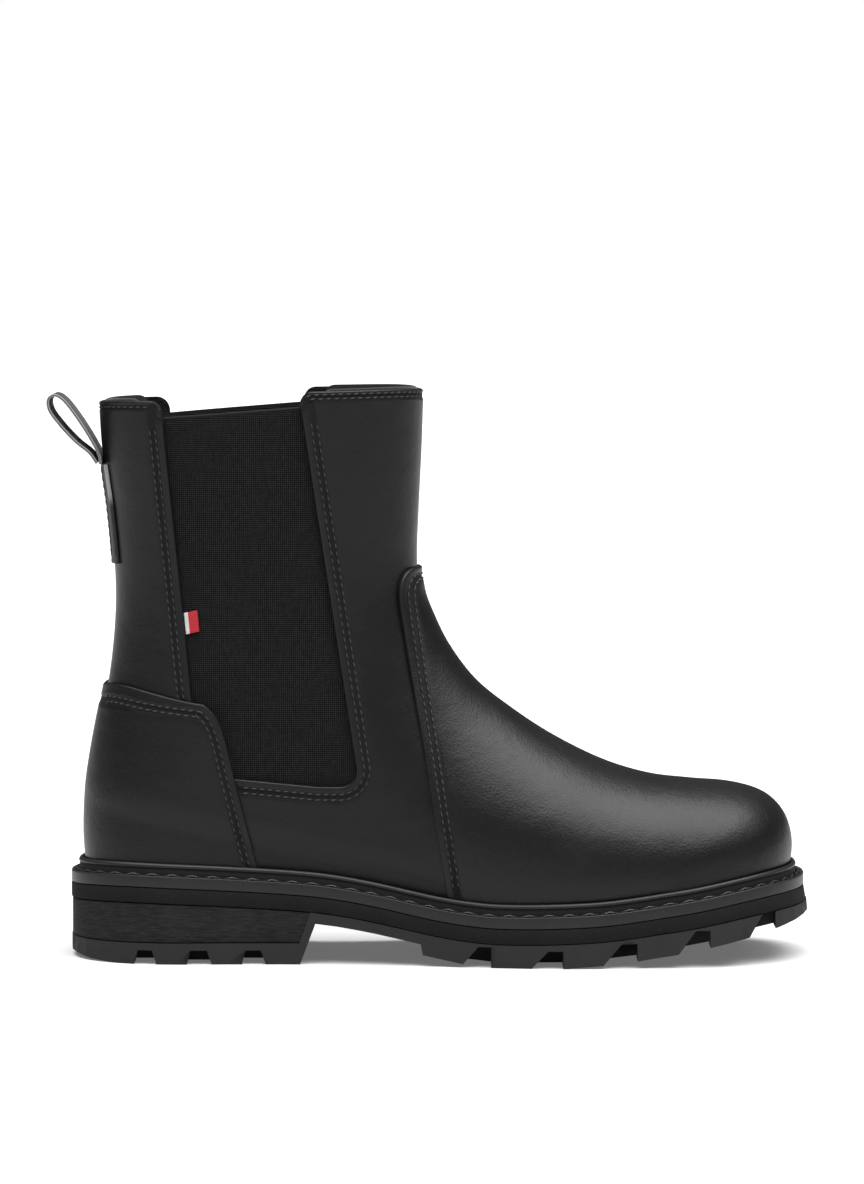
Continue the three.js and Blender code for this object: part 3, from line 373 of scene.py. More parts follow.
def front_outline(reach, corner, rear, top):
    """The L of the front panel: columns run from the gore's edge to the welt, the vamp or the front
    outline, and rows from under the foxing forwards and then up, in five parts."""
    low = GORE_BOTTOM - reach
    corner_x = gore_front_x(low + corner) + reach
    seam_foot = np.array(vamp_outline(EDGE_ROW, 1.0))
    seam_top = np.array(vamp_outline(EDGE_ROW, 0.0))
    top_z = BOOT_HEIGHT + top
    shoulder = top_z - RIM_CORNER - GORE_DIP

    def pair(x, z):
        return np.stack(np.broadcast_arrays(x, z), -1)

    def floor_run(start, end, t):
        x = mix(start, end, t)
        return pair(x, gore_floor(x) - reach)

    def up_run(start, end, t):
        z = mix(start, end, t)
        return pair(gore_front_x(z) + reach, z)

    def foot_run(start, end, t):
        x = mix(start, end, t)
        return pair(x, panel_foot(x))

    def outline(u, v):
        u, v = np.broadcast_arrays(np.asarray(u, float), v)
        ends = np.cumsum(FRONT_ROWS)
        row = u * ends[-1]
        part = np.clip(np.searchsorted(ends, row - 1e-6), 0, 4)
        t = (row - (ends - FRONT_ROWS)[part]) / np.array(FRONT_ROWS)[part]
        angle = t * math.pi / 2
        gore = np.choose(part[..., None], [
            floor_run(rear, FLOOR_SPLIT, t),
            floor_run(FLOOR_SPLIT, corner_x - corner, t),
            pair(corner_x - corner * (1 - np.sin(angle)), low + corner * (1 - np.cos(angle))),
            up_run(low + corner, RISE_SPLIT, t),
            up_run(RISE_SPLIT, shoulder, t),
        ])
        z = mix(seam_top[1], top_z - FRONT_DIP, t)
        outer = np.choose(part[..., None], [
            foot_run(rear + 6, FOOT_SPLITS[0], t),
            foot_run(*FOOT_SPLITS, t),
            foot_run(FOOT_SPLITS[1], seam_foot[0], t),
            pair(*vamp_outline(EDGE_ROW, 1 - np.clip(t, 0, 1))),
            pair(front_x(z), z),
        ])
        point = mix(gore, outer, crowd_end(v)[..., None])
        across = crowd_end(v) * (front_x(top_z) - gore_front_x(top_z) - reach)
        rounded = RIM_CORNER * (1 - np.sqrt(1 - (1 - np.minimum(1, across / RIM_CORNER)) ** 2))
        drop = rounded + GORE_DIP * (1 - v) + FRONT_DIP * v ** 4
        ruled = mix(shoulder, top_z - FRONT_DIP, crowd_end(v))
        lift = np.where(part == 4, t * t * (top_z - drop - ruled), 0)
        return point[..., 0], point[..., 1] + lift

    return outline


def back_outline(reach, top, under=3.0, slip=7.0):
    """Rows run from under the foxing's top edge to the top line, columns from the back to the gore.
    It runs further under towards the gore, where the opening shaft draws it out."""
    top_z = BACK_TOP + top

    def outline(u, v):
        share = crowd_start(v)
        bottom = foxing_top(v * 0.86)[..., 1] - under - slip * v
        edge = gore_rear_x(top_z) + reach - back_x(top_z)
        from_edge = np.minimum(1, (1 - share) * edge / RIM_CORNER)
        drop = RIM_CORNER * (1 - np.sqrt(1 - (1 - from_edge) ** 2)) + BACK_DIP * (1 - v) ** 2
        z = mix(bottom, top_z - drop, u)
        return mix(back_x(z), gore_rear_x(z) + reach, share), z

    return outline


def foxing_outline(u, v):
    """Rows run from the welt to the foxing's top edge, columns from the back to its front edge."""
    u, v = np.broadcast_arrays(np.asarray(u, float), v)
    edge = foxing_front(u)
    share = crowd_start(v)
    foot_z = panel_foot(20)
    low = mix(foot_z, panel_foot(edge[..., 0]), share)
    z = mix(low, foxing_top(v)[..., 1], u)
    straight = mix(mix(foot_z, foxing_top(0.0)[1], u), edge[..., 1], share)
    height = mix(z, straight, u * share)
    return mix(back_x(height), edge[..., 0], share), np.maximum(height, low)


def heel_lining_outline(u, v):
    """Rows run from the welt to just under the foxing's top edge, columns from the back on."""
    z = mix(panel_foot(30), foxing_top(v * 0.7)[..., 1] - 3, u)
    return mix(back_x(z), gore_rear_x(z) - OVERLAP - 0.5, crowd_start(v)), z


GORE_TOP = (216.7, 220.9)  # heights at the rear and at the front of the top edge
GORE_TOP_START, GORE_TOP_LENGTH = 38.6, 54.2


def gore_outline(u, v):
    """Straight from its lower edge, under the front panel, to its top edge, which rises towards
    the front."""

    def x_at(z):
        return mix(gore_rear_x(z), gore_front_x(z), v) + mix(-OVERLAP, OVERLAP, v)

    foot_x = x_at(GORE_BOTTOM - OVERLAP)
    top = mix(*GORE_TOP, (x_at(218) - GORE_TOP_START) / GORE_TOP_LENGTH)
    z = mix(gore_floor(foot_x) - OVERLAP, top, u)
    return x_at(z), z


LABEL_HEIGHTS = (130.3, 138.8)
LABEL_REACH = 5.6
LABEL_SLANT = 1.2
TAIL_HEIGHTS = (157.5, 197.3)


def label_outline(u, v):
    """From the rear seam forwards over the gore."""
    u, v = np.broadcast_arrays(u, v)
    z = mix(*LABEL_HEIGHTS, u)
    return gore_rear_x(z) + mix(CLEAR, LABEL_REACH, v), z + LABEL_SLANT * v


def tail_outline(u, v):
    """The tail of the pull tab, wrapped round the back of the shaft."""
    u, v = np.broadcast_arrays(u, v)
    z = mix(*TAIL_HEIGHTS, u)
    across = (v * TAB_WIDTH / 2 / shaft_half_width(z)) ** FULLNESS
    return back_x(z) + heel_round(z) * (1 - (1 - across) ** (1 / FULLNESS)), z


# ---- Meshes ----------------------------------------------------------------------------------
def grid_faces(rows, columns):
    """Quads between the neighbours of a grid of points."""
    i = np.arange(rows - 1)[:, None] * columns + np.arange(columns - 1)[None, :]
    return np.stack([i, i + 1, i + columns + 1, i + columns], -1).reshape(-1, 4)


def walls(outer, inner, shared):
    """Strips that join the borders of two grids of one size, except where the border is shared
    with the other side of the boot."""
    rows, columns = outer.shape[:2]
    index = np.arange(rows * columns).reshape(rows, columns)
    border = np.concatenate([index[0, :-1], index[:-1, -1], index[-1, :0:-1], index[:, 0][::-1]])
    inside = shared.ravel()[border]
    kept = np.flatnonzero(~(inside[:-1] & inside[1:]))
    runs = np.split(kept, np.flatnonzero(np.diff(kept) > 1) + 1)
    lines = [border[run[0]:run[-1] + 2] for run in runs]
    skins = [grid.reshape(rows * columns, -1) for grid in (outer, inner)]
    return [np.stack([skin[line] for skin in skins]) for line in lines]


WELD = 0.004  # millimetres within which points are merged
SLIVER = 0.002  # length below which an edge is removed


def make(name, grids, material, body=None, slot=None, stands_for=(), marks=(), uv=None, sharp=35):
    """A finished piece from grids of points in millimetres. Doubled points are merged, faces are
    turned outwards, and edges sharper than the given angle stay crisp. Marks are named values at
    the points of each grid, and uv their places in a pattern."""
    starts = np.cumsum([0] + [g.shape[0] * g.shape[1] for g in grids])
    faces = np.concatenate([grid_faces(*g.shape[:2]) + n for g, n in zip(grids, starts)])
    mesh = bpy.data.meshes.new(name)
    mesh.vertices.add(starts[-1])
    points = np.concatenate([g.reshape(-1, 3) for g in grids])
    mesh.vertices.foreach_set("co", placed(points).astype(np.float32).ravel())
    mesh.loops.add(faces.size)
    mesh.loops.foreach_set("vertex_index", faces.astype(np.int32).ravel())
    mesh.polygons.add(len(faces))
    mesh.polygons.foreach_set("loop_start", np.arange(0, faces.size, 4, dtype=np.int32))
    mesh.update(calc_edges=True)
    for label, values in dict(marks).items():
        mark = mesh.attributes.new(label, "FLOAT", "POINT")
        flat = np.concatenate([np.ravel(value) for value in values])
        mark.data.foreach_set("value", flat.astype(np.float32))
    if uv is not None:
        layer = mesh.uv_layers.new(name="pattern")
        flat = np.concatenate([u.reshape(-1, 2) for u in uv])
        layer.data.foreach_set("uv", flat[faces.ravel()].astype(np.float32).ravel())
    return finished(name, mesh, material, body, stands_for, sharp)


def finished(name, mesh, material, body, stands_for=(), sharp=35, turn_out=True):
    """Welds a mesh, links it into the scene under its body, gives it its finish, and hides the CAD
    nodes it stands for.
    """
    tidy = bmesh.new()
    tidy.from_mesh(mesh)
    bmesh.ops.remove_doubles(tidy, verts=tidy.verts, dist=WELD * MM)
    bmesh.ops.dissolve_degenerate(tidy, edges=tidy.edges, dist=SLIVER * MM)
    if turn_out:
        bmesh.ops.recalc_face_normals(tidy, faces=tidy.faces)
    tidy.to_mesh(mesh)
    tidy.free()
    mesh.shade_smooth()
    mesh.set_sharp_from_angle(angle=math.radians(sharp))
    mesh.materials.clear()
    mesh.materials.append(material)
    piece = bpy.data.objects.new(name, mesh)
    bpy.context.scene.collection.objects.link(piece)
    if body:
        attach(piece, body)
    if stands_for:
        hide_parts(*stands_for)
    return piece


def away(x, z, line):
    """Distance in side view from points to a line of (x, z) points, by its nearest segment."""
    start, run = line[:-1], np.diff(line, axis=0)
    rx, rz = np.ravel(x)[:, None] - start[:, 0], np.ravel(z)[:, None] - start[:, 1]
    t = np.clip((rx * run[:, 0] + rz * run[:, 1]) / np.maximum((run ** 2).sum(1), 1e-9), 0, 1)
    far = np.hypot(rx - t * run[:, 0], rz - t * run[:, 1]).min(1)
    return far.reshape(np.shape(x))


def edge_line(outline, u, v):
    """A border of a pattern as (x, z) points."""
    return np.stack(np.broadcast_arrays(*outline(np.asarray(u, float), np.asarray(v, float))), -1)


class Panel:
    """A piece of the upper, cut to a pattern and laid on the last between two heights. Each of its
    edges is a line, the distance of the seam sewn beside it (a number, a function of x, or None),
    and the seam's half width. The leather rounds off at an edge and sinks in under a seam. Near an
    edge press lowers its outside, and tuck its inside, by that many millimetres."""

    ROUND = 0.75
    SINK = 0.42

    def __init__(self, outline, top, bottom, edges, press=0.0, tuck=0.0):
        self.outline, self.top, self.bottom = outline, top, bottom
        self.edges, self.press, self.tuck = edges, press, tuck

    def inset(self, x, z):
        """Distance from the nearest edge."""
        return np.min([away(x, z, line) for line, _, _ in self.edges], axis=0)

    def sewn(self, x, z):
        """1 under a seam, 0 away from it."""
        under = np.zeros(np.shape(x))
        for line, seam, half in self.edges:
            if seam is not None:
                off = np.abs(away(x, z, line) - (seam(x) if callable(seam) else seam))
                under = np.maximum(under, 1 - smooth(half, half + 0.9, off))
        return under

    def height(self, x, z):
        """Outside of the leather above the last."""
        drop = np.zeros(np.shape(x))
        trough = self.SINK * self.sewn(x, z)
        for line, _, _ in self.edges:
            far = away(x, z, line)
            level = self.ROUND - np.minimum(far, self.ROUND)
            rounded = self.ROUND - np.sqrt(self.ROUND ** 2 - level ** 2)
            pressed = self.press * (1 - smooth(1, 8, far))
            drop = np.maximum(drop, np.maximum(rounded, trough) + pressed)
        return self.top - drop

    def make(
        self, name, rows, columns, material, sides=(-1, 1), shared=lambda u, v: v == 0, **how
    ):
        """Both sides of the boot, or one. They meet where shared(u, v) is true."""
        u, v = np.broadcast_arrays(rows[:, None], columns[None, :])
        x, z = self.outline(u, v)
        far = self.inset(x, z)
        heights = self.height(x, z), self.bottom - self.tuck * (1 - smooth(0.5, 6, far))
        ridge = shared(u, v) if len(sides) == 2 else np.zeros(u.shape, bool)
        under = self.sewn(x, z)
        grids, marks, across, sewn, uvs = [], [], [], [], []
        place = np.stack([x, z], -1) / 100
        for side in sides:
            point, normal = last_surface(x, z, side, ridge)
            skins = [point + normal * height[..., None] for height in heights]
            for skin in skins:
                skin[..., 2] = np.maximum(skin[..., 2], panel_foot(skin[..., 0]))
            grids += [*skins, *walls(*skins, ridge)]
            marks += [far, far, *walls(far, far, ridge)]
            across += [v, v, *walls(v, v, ridge)]
            sewn += [under, under, *walls(under, under, ridge)]
            uvs += [place, place, *walls(place, place, ridge)]
        marks = {"inset": marks, "across": across, "sewn": sewn}
        return make(name, grids, material, marks=marks, uv=uvs, **how)


# millimetres from an edge at which the leather has rows of points of its own
EDGE_STEPS = np.array([
    0, 0.1, 0.28, 0.5, 0.75, 1.2, 1.8, 2.3, 2.8, 3.3, 3.9, 4.6, 5.3, 6, 6.8, 7.8, 9,
])


def spaced(length, count, start=False, end=False, scale=1.0):
    """Values from 0 to 1, an even count of them, with more beside an edge at either end. Length is
    the millimetres from 0 to 1."""
    beside = EDGE_STEPS * scale / length
    low = beside[-1] if start else 0
    high = 1 - beside[-1] if end else 1
    middle = np.linspace(low, high, count)
    parts = ([beside[:-1]] if start else []) + [middle] + ([1 - beside[-2::-1]] if end else [])
    return np.concatenate(parts)


# ---- Materials -------------------------------------------------------------------------------
class Value:
    """A number that varies over a surface; arithmetic on it adds Math nodes."""

    def __init__(self, shader, output):
        self.shader, self.output = shader, output

    def math(self, operation, *others):
        return self.shader.node("ShaderNodeMath", [self, *others], operation=operation)

    def __add__(self, other):
        return self.math("ADD", other)

    def __sub__(self, other):
        return self.math("SUBTRACT", other)

    def __mul__(self, other):
        return self.math("MULTIPLY", other)

    def __rsub__(self, other):
        return self.shader.node("ShaderNodeMath", [other, self], operation="SUBTRACT")

    def wave(self):
        """Its sine, brought between 0 and 1."""
        return self.math("SINE") * 0.5 + 0.5

    def between(self, low, high):
        """0 below low and 1 above high, with a smooth step between them."""
        return self.shader.node(
            "ShaderNodeMapRange", {0: self, 1: low, 2: high}, interpolation_type="SMOOTHSTEP"
        )


class Shader:
    """A material with one Principled shader, whose fixed numbers are set on its own sockets."""

    def __init__(self, name, base, roughness, **fixed):
        self.material = bpy.data.materials.new(name)
        self.material.use_nodes = True
        self.nodes, self.links = self.material.node_tree.nodes, self.material.node_tree.links
        self.surface = self.nodes["Principled BSDF"]
        self.set("Base Color", base)
        self.set("Roughness", roughness)
        for socket, value in fixed.items():
            self.set(socket.replace("_", " "), value)

    def set(self, socket, value):
        self.connect(self.surface.inputs[socket], value)

    def connect(self, socket, value):
        if isinstance(value, Value):
            self.links.new(value.output, socket)
        elif isinstance(value, tuple) and socket.type == "RGBA":
            socket.default_value = (*value, 1)
        else:
            socket.default_value = value

    def node(self, kind, inputs=(), output=0, **settings):
        """Any node: its type, its settings, then the values or links of its sockets."""
        made = self.nodes.new(kind)
        for setting, value in settings.items():
            setattr(made, setting, value)
        by_socket = inputs if isinstance(inputs, dict) else dict(enumerate(inputs))
        for socket, value in by_socket.items():
            self.connect(made.inputs[socket], value)
        return Value(self, made.outputs[output])

    def place(self):
        return self.node("ShaderNodeTexCoord", output="Object")

    def stretched(self, place, scale):
        return self.node("ShaderNodeMapping", {"Vector": place, "Scale": scale})

    def pattern(self, name="pattern"):
        """The two coordinates of the piece's own pattern, in units of 100 mm."""
        uv = self.node("ShaderNodeUVMap", uv_map=name)
        parts = self.nodes.new("ShaderNodeSeparateXYZ")
        self.links.new(uv.output, parts.inputs[0])
        return Value(self, parts.outputs[0]), Value(self, parts.outputs[1])

    def mark(self, name):
        return self.node("ShaderNodeAttribute", output="Fac", attribute_name=name)

    def noise(self, place, cell, detail=2.0):
        """Soft noise whose cells are about that many millimetres."""
        return self.node(
            "ShaderNodeTexNoise", {"Vector": place, "Scale": 1 / (cell * MM), "Detail": detail}
        )

    def cells(self, place, cell, smoothness=0.6):
        """Distance to the middle of rounded cells of about that many millimetres."""
        return self.node(
            "ShaderNodeTexVoronoi",
            {"Vector": place, "Scale": 1 / (cell * MM), "Smoothness": smoothness},
            output="Distance", feature="SMOOTH_F1",
        )

    def blend(self, share, low, high):
        """A colour between two others."""
        made = self.nodes.new("ShaderNodeMix")
        made.data_type = "RGBA"
        self.connect(made.inputs["Factor"], share)
        self.connect(made.inputs[6], low)
        self.connect(made.inputs[7], high)
        return Value(self, made.outputs[2])

    def relief(self, height, depth):
        """Bump of that many millimetres over the height's range."""
        bump = {"Height": height, "Distance": depth * MM, "Strength": 1.0}
        self.set("Normal", self.node("ShaderNodeBump", bump))


def grey(value, warm=0.0):
    return (value * (1 + warm), value, value * (1 - warm))


def ridges(pitch):
    """Radians per unit of pattern, for ridges that many millimetres apart."""
    return 2 * math.pi * 100 / pitch


def black_leather():
    """Smooth corrected-grain leather: rounded pores under a millimetre across, faint drum marks,
    shallow waves, a slow change of tone, edges a little paler, and deeper pores where a seam
    puckers it, darkened there as painted shade."""
    m = Shader("black_leather", grey(0.004), 0.36, Specular_IOR_Level=0.25)
    place = m.place()
    pores = m.cells(place, 0.75)
    drum = m.noise(place, 2.2, 4)
    slow = m.noise(place, 34)
    # the leather is a little paler within about a millimetre of its edges
    paler_edge = 1 - m.mark("inset").between(0.2, 1.3)
    waves = m.noise(place, 9)
    m.relief(pores * (m.mark("sewn") * 1.6 + 0.95) + drum * 0.7 + waves * 3.5, 0.07)
    m.set("Roughness", slow * 0.10 + drum * 0.08 + m.mark("sewn") * 0.35 + 0.33)
    tone = slow * 0.6 + drum * 0.2 + paler_edge * 0.5
    # painted shade: under a seam the leather darkens towards near-black, through its pores and drum
    # marks
    seam_shade = m.mark("sewn") * (pores * 0.6 + drum * 0.8)
    skin = m.blend(tone, grey(0.001), grey(0.0055))
    m.set("Base Color", m.blend(seam_shade, skin, grey(0.0004)))
    return m.material


def elastic():
    """Woven elastic: warp and weft ridges 0.8 mm apart with a dark hole between each four, and a
    plain bound edge at the top."""
    m = Shader("elastic", grey(0.008), 0.85, Specular_IOR_Level=0.07)
    across, up = m.pattern()
    turns = ridges(0.82)
    ribs = (across * turns).wave()
    picks = (up * turns).wave()
    hem = 1 - m.mark("inset").between(1.2, 1.7)
    fuzz = m.noise(m.place(), 0.35, 3)
    weave = ribs * picks
    woven = 1 - hem
    clumps = m.noise(m.stretched(m.place(), (1.0, 1.0, 0.45)), 1.3, 2).between(0.3, 0.7)
    m.relief(weave * woven * 0.7 + fuzz * 0.3, 0.25)
    tone = weave * woven * (clumps * 0.4 + 0.6) + fuzz * 0.1 + hem * 0.35
    m.set("Base Color", m.blend(tone, grey(0.001), grey(0.030)))
    return m.material


def lining_cloth():
    """Brushed dark lining: short fibres that lie every way."""
    m = Shader("lining_cloth", grey(0.02), 0.95, Specular_IOR_Level=0.1, Sheen_Weight=0.2)
    place = m.place()
    fibres = m.noise(place, 0.4, 5)
    tufts = m.noise(place, 2.6, 3)
    m.relief(fibres * 0.7 + tufts * 0.3, 0.25)
    m.set("Base Color", m.blend(fibres * 0.7 + tufts * 0.4 - 0.05, grey(0.008), grey(0.035)))
    return m.material


def thread(name, dark, light, twist):
    """Waxed thread, twisted: the pattern's first coordinate runs round it and the second along it.
    Painted shade darkens it where it goes into its hole."""
    m = Shader(name, grey(light), 0.5, Specular_IOR_Level=0.4)
    around, along = m.pattern()
    plies = ((around + along * twist) * (4 * math.pi)).wave()
    # painted shade: the thread darkens towards each end, where it goes into its hole
    hole_shade = m.mark("end").between(0.25, 0.70)
    m.relief(plies, 0.08)
    m.set("Base Color", m.blend((plies * 0.6 + 0.4) * (1 - hole_shade), grey(dark), grey(light)))
    m.set("Roughness", hole_shade * 0.4 + 0.45)
    return m.material


def rubber(name, low, high, roughness, specks=0.0, grain=0.0, warm=0.0, level=0.4):
    """Moulded or buffed rubber: fine pitting, cloudy tone, painted shade where a groove is marked
    as shade, paler specks of ground crumb, and buffing lines that run level round the boot."""
    m = Shader(name, grey(low), roughness, Specular_IOR_Level=level)
    place = m.place()
    pits = m.noise(place, 0.5, 4)
    clouds = m.noise(place, 11, 3)
    height = pits * 0.5
    tone = clouds * 0.5 + pits * 0.3
    if grain:
        lines = m.noise(m.stretched(place, (0.09, 0.09, 1.0)), 0.42, 3)
        height = height * 0.5 + lines * grain
        tone = tone + (lines - 0.5) * grain
    if specks:
        crumb = 1 - m.cells(place, 2.1, 0.0).between(0.10, 0.20)
        tone = tone + crumb * specks
        height = height + crumb * 0.3
    m.relief(height, 0.10)
    moulded = m.blend(tone, grey(low, warm), grey(high, warm))
    # painted shade: where it is marked as shade, the welt's stitch groove is blended towards
    # near-black
    m.set("Base Color", m.blend(m.mark("shade") * 0.9, moulded, grey(0.0005)))
    m.set("Roughness", pits * 0.16 + m.mark("shade") * 0.4 + roughness - 0.08)
    return m.material


PALE_EDGE_HEIGHTS = (0.181, 0.187)  # row frame: the tail's edges are rubbed pale above these


def strap_leather():
    """Nubuck strap: pale tips on a dark nap, and raw edges with a pale line along each face."""
    m = Shader("strap_leather", grey(0.03), 0.85, Specular_IOR_Level=0.25, Sheen_Weight=0.1)
    place = m.place()
    nap = m.noise(place, 0.3, 5)
    patches = m.noise(place, 3.5, 3)
    high = m.node("ShaderNodeSeparateXYZ", [place], output=2).between(*PALE_EDGE_HEIGHTS)
    raw = m.mark("raw") + m.mark("across").between(0.90, 0.97) * high
    m.relief(nap * 0.8 + patches * 0.2, 0.22)
    face = m.blend(nap * 0.8 + patches * 0.5 - 0.2, grey(0.006), grey(0.04))
    m.set("Base Color", m.blend(raw * (nap * 0.5 + 0.7), face, grey(0.26)))
    return m.material


def red_tape():
    """Folded woven tape with fine ribs and a plain pale stripe along the seam."""
    m = Shader("red_tape", (0.5, 0.02, 0.03), 0.75, Specular_IOR_Level=0.3)
    across, up = m.pattern()
    ribs = (up * ridges(0.5)).wave()
    fuzz = m.noise(m.place(), 0.3, 3)
    stripe = 1 - m.mark("across").between(0.26, 0.32)
    m.relief(ribs * 0.6 + fuzz * 0.4, 0.12)
    red = m.blend(ribs * 0.5 + fuzz * 0.5, (0.22, 0.006, 0.011), (0.46, 0.022, 0.032))
    m.set("Base Color", m.blend(stripe, red, (0.50, 0.49, 0.48)))
    return m.material


def board(name, low, high, fleck, rough=0.85, metal=0.0):
    """Pressed board, cork or plain metal: grains of two tones."""
    m = Shader(name, high, rough, Metallic=metal)
    place = m.place()
    grains = m.cells(place, fleck, 0.3)
    dust = m.noise(place, fleck / 3, 3)
    m.relief(grains * 0.6 + dust * 0.4, 0.12)
    m.set("Base Color", m.blend(grains * 0.8 + dust * 0.4 - 0.1, low, high))
    m.set("Roughness", dust * 0.2 + rough - 0.1)
    return m.material


leather = black_leather()
gore_cloth = elastic()
lining = lining_cloth()
upper_thread = thread("upper_thread", 0.0005, 0.030, 1.5)
sole_thread = thread("sole_thread", 0.001, 0.016, 3.0)
welt_rubber = rubber("welt_rubber", 0.007, 0.015, 0.42, level=0.27)
midsole_rubber = rubber("midsole_rubber", 0.004, 0.012, 0.85, specks=0.9, level=0.12)
heel_rubber = rubber("heel_rubber", 0.003, 0.019, 0.75, specks=0.4, grain=2.0, level=0.16)
tread_rubber = rubber("tread_rubber", 0.011, 0.023, 0.68, specks=0.3, level=0.2)
strap = strap_leather()
tape = red_tape()
FINISHES = {
    "toe_puff": board("stiffener_felt", grey(0.03), grey(0.08), 1.2),
    "vamp_interlining": board("interlining_felt", grey(0.04), grey(0.1), 1.0),
    "heel_counter": board("counter_board", (0.16, 0.1, 0.05), (0.34, 0.23, 0.13), 1.4),
    "insole_board": board("insole_fibre", (0.15, 0.1, 0.06), (0.3, 0.21, 0.12), 1.0),
    "filler": board("cork_filler", (0.18, 0.09, 0.04), (0.42, 0.25, 0.12), 2.4),
    "shank": board(
        "spring_steel", (0.4, 0.4, 0.42), (0.55, 0.55, 0.57), 0.8, rough=0.35, metal=1.0
    ),
}
for node, finish in FINISHES.items():
    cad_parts[node].data.materials.clear()
    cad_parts[node].data.materials.append(finish)


# ---- Panels of the upper ---------------------------------------------------------------------
FOOT, BACK_SHAFT, PULL_LOOP = "foot", "back_shaft", "pull_loop"
sewn_t = np.linspace(0, 1, 260)
GORE_SEAM = 4.2  # middle of the two rows of stitches, from the panel's edge
ROW_HALF = 1.1  # from there to each row
TOP_SEAM = 2.1
TOP_ROW_HALF = 0.85
BACK_TOP_SEAM = 2.4


def foxing_seam(x):
    """The rows lie further from the foxing's edge over the heel than beside the gore."""
    return mix(6.3, 4.1, smooth(26, 56, x))


front_pattern = front_outline(0, GORE_CORNER, 61, 0)
back_pattern = back_outline(0, 0)
gore_edge = edge_line(front_pattern, sewn_t, 0)
front_top = edge_line(front_pattern, 1, sewn_t)
rear_edge = edge_line(back_pattern, sewn_t, 1)
back_top = edge_line(back_pattern, 1, sewn_t)
vamp_edge = edge_line(vamp_outline, 1, sewn_t)
foxing_edge = np.concatenate([
    edge_line(foxing_outline, 1, sewn_t), edge_line(foxing_outline, 1 - sewn_t, 1)[1:]
])
gore_top = edge_line(gore_outline, 1, sewn_t)

OVER = (OVER_TOP, OVER_UNDER)
vamp = Panel(vamp_outline, *OVER, [(vamp_edge, GORE_SEAM, ROW_HALF)], press=0.35, tuck=0.5)
foxing = Panel(foxing_outline, *OVER, [(foxing_edge, foxing_seam, ROW_HALF)], press=0.35, tuck=0.5)
front_panel = Panel(front_pattern, 0, -LEATHER, [
    (gore_edge, GORE_SEAM, ROW_HALF), (front_top, TOP_SEAM, TOP_ROW_HALF)
], tuck=0.55)
back_panel = Panel(back_pattern, 0, -LEATHER, [
    (rear_edge, GORE_SEAM, ROW_HALF), (back_top, BACK_TOP_SEAM, 0.3)
], tuck=0.55)
gore_panel = Panel(gore_outline, INNER_FACE, INNER_FACE - GORE_THICK, [(gore_top, 1.5, 0.1)])

QUARTER = math.pi / 2  # crowd_start and crowd_end spread their open end by this
SHAFT_ROWS = sum(FRONT_ROWS[:4]) / sum(FRONT_ROWS)  # share of them below the vamp's top


def at_front(u, v):
    """Where the front panel and its lining run on into the other side of the boot."""
    return (v == 1) & (u >= SHAFT_ROWS - 1e-9)


def front_spacing(low, high, scale=1.0):
    """Rows of the front panel: some below the vamp's top, and more up the shaft to the top line."""
    shaft = mix(SHAFT_ROWS, 1, spaced(72, high, end=True, scale=scale))
    return np.unique(np.concatenate([np.linspace(0, SHAFT_ROWS, low), shaft]))


def upper_leather(panel, name, rows, columns, body, node, **how):
    return panel.make(
        name, rows, columns, leather, body=body, slot="black_leather", stands_for=[node], **how
    )


upper_leather(vamp, "vamp_leather", spaced(175, 96, end=True), spaced(90, 40), FOOT, "vamp")
upper_leather(
    foxing, "heel_foxing_leather", spaced(75, 34, end=True), spaced(62 * QUARTER, 30, end=True),
    FOOT, "heel_foxing",
)
upper_leather(
    front_panel, "front_panel_leather", front_spacing(69, 26),
    spaced(46 * QUARTER, 26, start=True), FOOT, "front_panel", shared=at_front,
)
upper_leather(
    back_panel, "back_panel_leather", spaced(114, 44, end=True),
    spaced(38 * QUARTER, 24, end=True), BACK_SHAFT, "back_panel",
)

# linings, whose brushed edge stands a little above the leather at the top line
LINING = (INNER_FACE, INNER_FACE - LINING_THICK)
front_lining_pattern = front_outline(OVERLAP + 0.5, 0.8, 54, LINING_PROUD)
back_lining_pattern = back_outline(-OVERLAP - 0.5, LINING_PROUD, -0.5, 0)


def lining_panel(name, outline, rows, columns, body, **how):
    top = edge_line(outline, 1, sewn_t)
    panel = Panel(outline, *LINING, [(top, None, 0)])
    return panel.make(
        name + "_cloth", rows, columns, lining, body=body, slot="lining", stands_for=[name], **how
    )


def even(count):
    return np.linspace(0, 1, count)


lining_panel(
    "front_lining", front_lining_pattern, front_spacing(35, 14, 0.5), even(40), FOOT,
    shared=at_front,
)
lining_panel(
    "back_lining", back_lining_pattern, spaced(114, 26, end=True, scale=0.5), even(32), BACK_SHAFT
)
lining_panel("heel_lining", heel_lining_outline, even(24), even(28), FOOT)
lining_panel(
    "vamp_lining", lambda u, v: vamp_outline(u * LINING_ROW, v), even(44), even(24), FOOT
)

# gores, the elastic that stretches as the shaft opens; each is baked where it stands and rides no
# body
for side, name in ((-1, "gore_outer_side"), (1, "gore_inner_side")):
    gore = gore_panel.make(
        name + "_elastic", spaced(150, 60, end=True), even(40), gore_cloth, sides=(side,),
        slot="elastic", stands_for=[name],
    )
    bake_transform(gore)

label_edges = np.concatenate([
    edge_line(label_outline, 0, sewn_t), edge_line(label_outline, sewn_t, 1),
    edge_line(label_outline, 1, 1 - sewn_t),
])
label_panel = Panel(label_outline, INNER_FACE + 1.0, INNER_FACE + CLEAR, [(label_edges, None, 0)])
label_panel.ROUND = 0.3


# ---- Seams -----------------------------------------------------------------------------------
SHAFT_FOOT = 84  # height above which the shaft's front outline bounds the leather


def distance_along(point):
    """How far each of a line's points lies from its start, along the line."""
    return np.concatenate([[0], np.cumsum(np.linalg.norm(np.diff(point, axis=0), axis=1))])


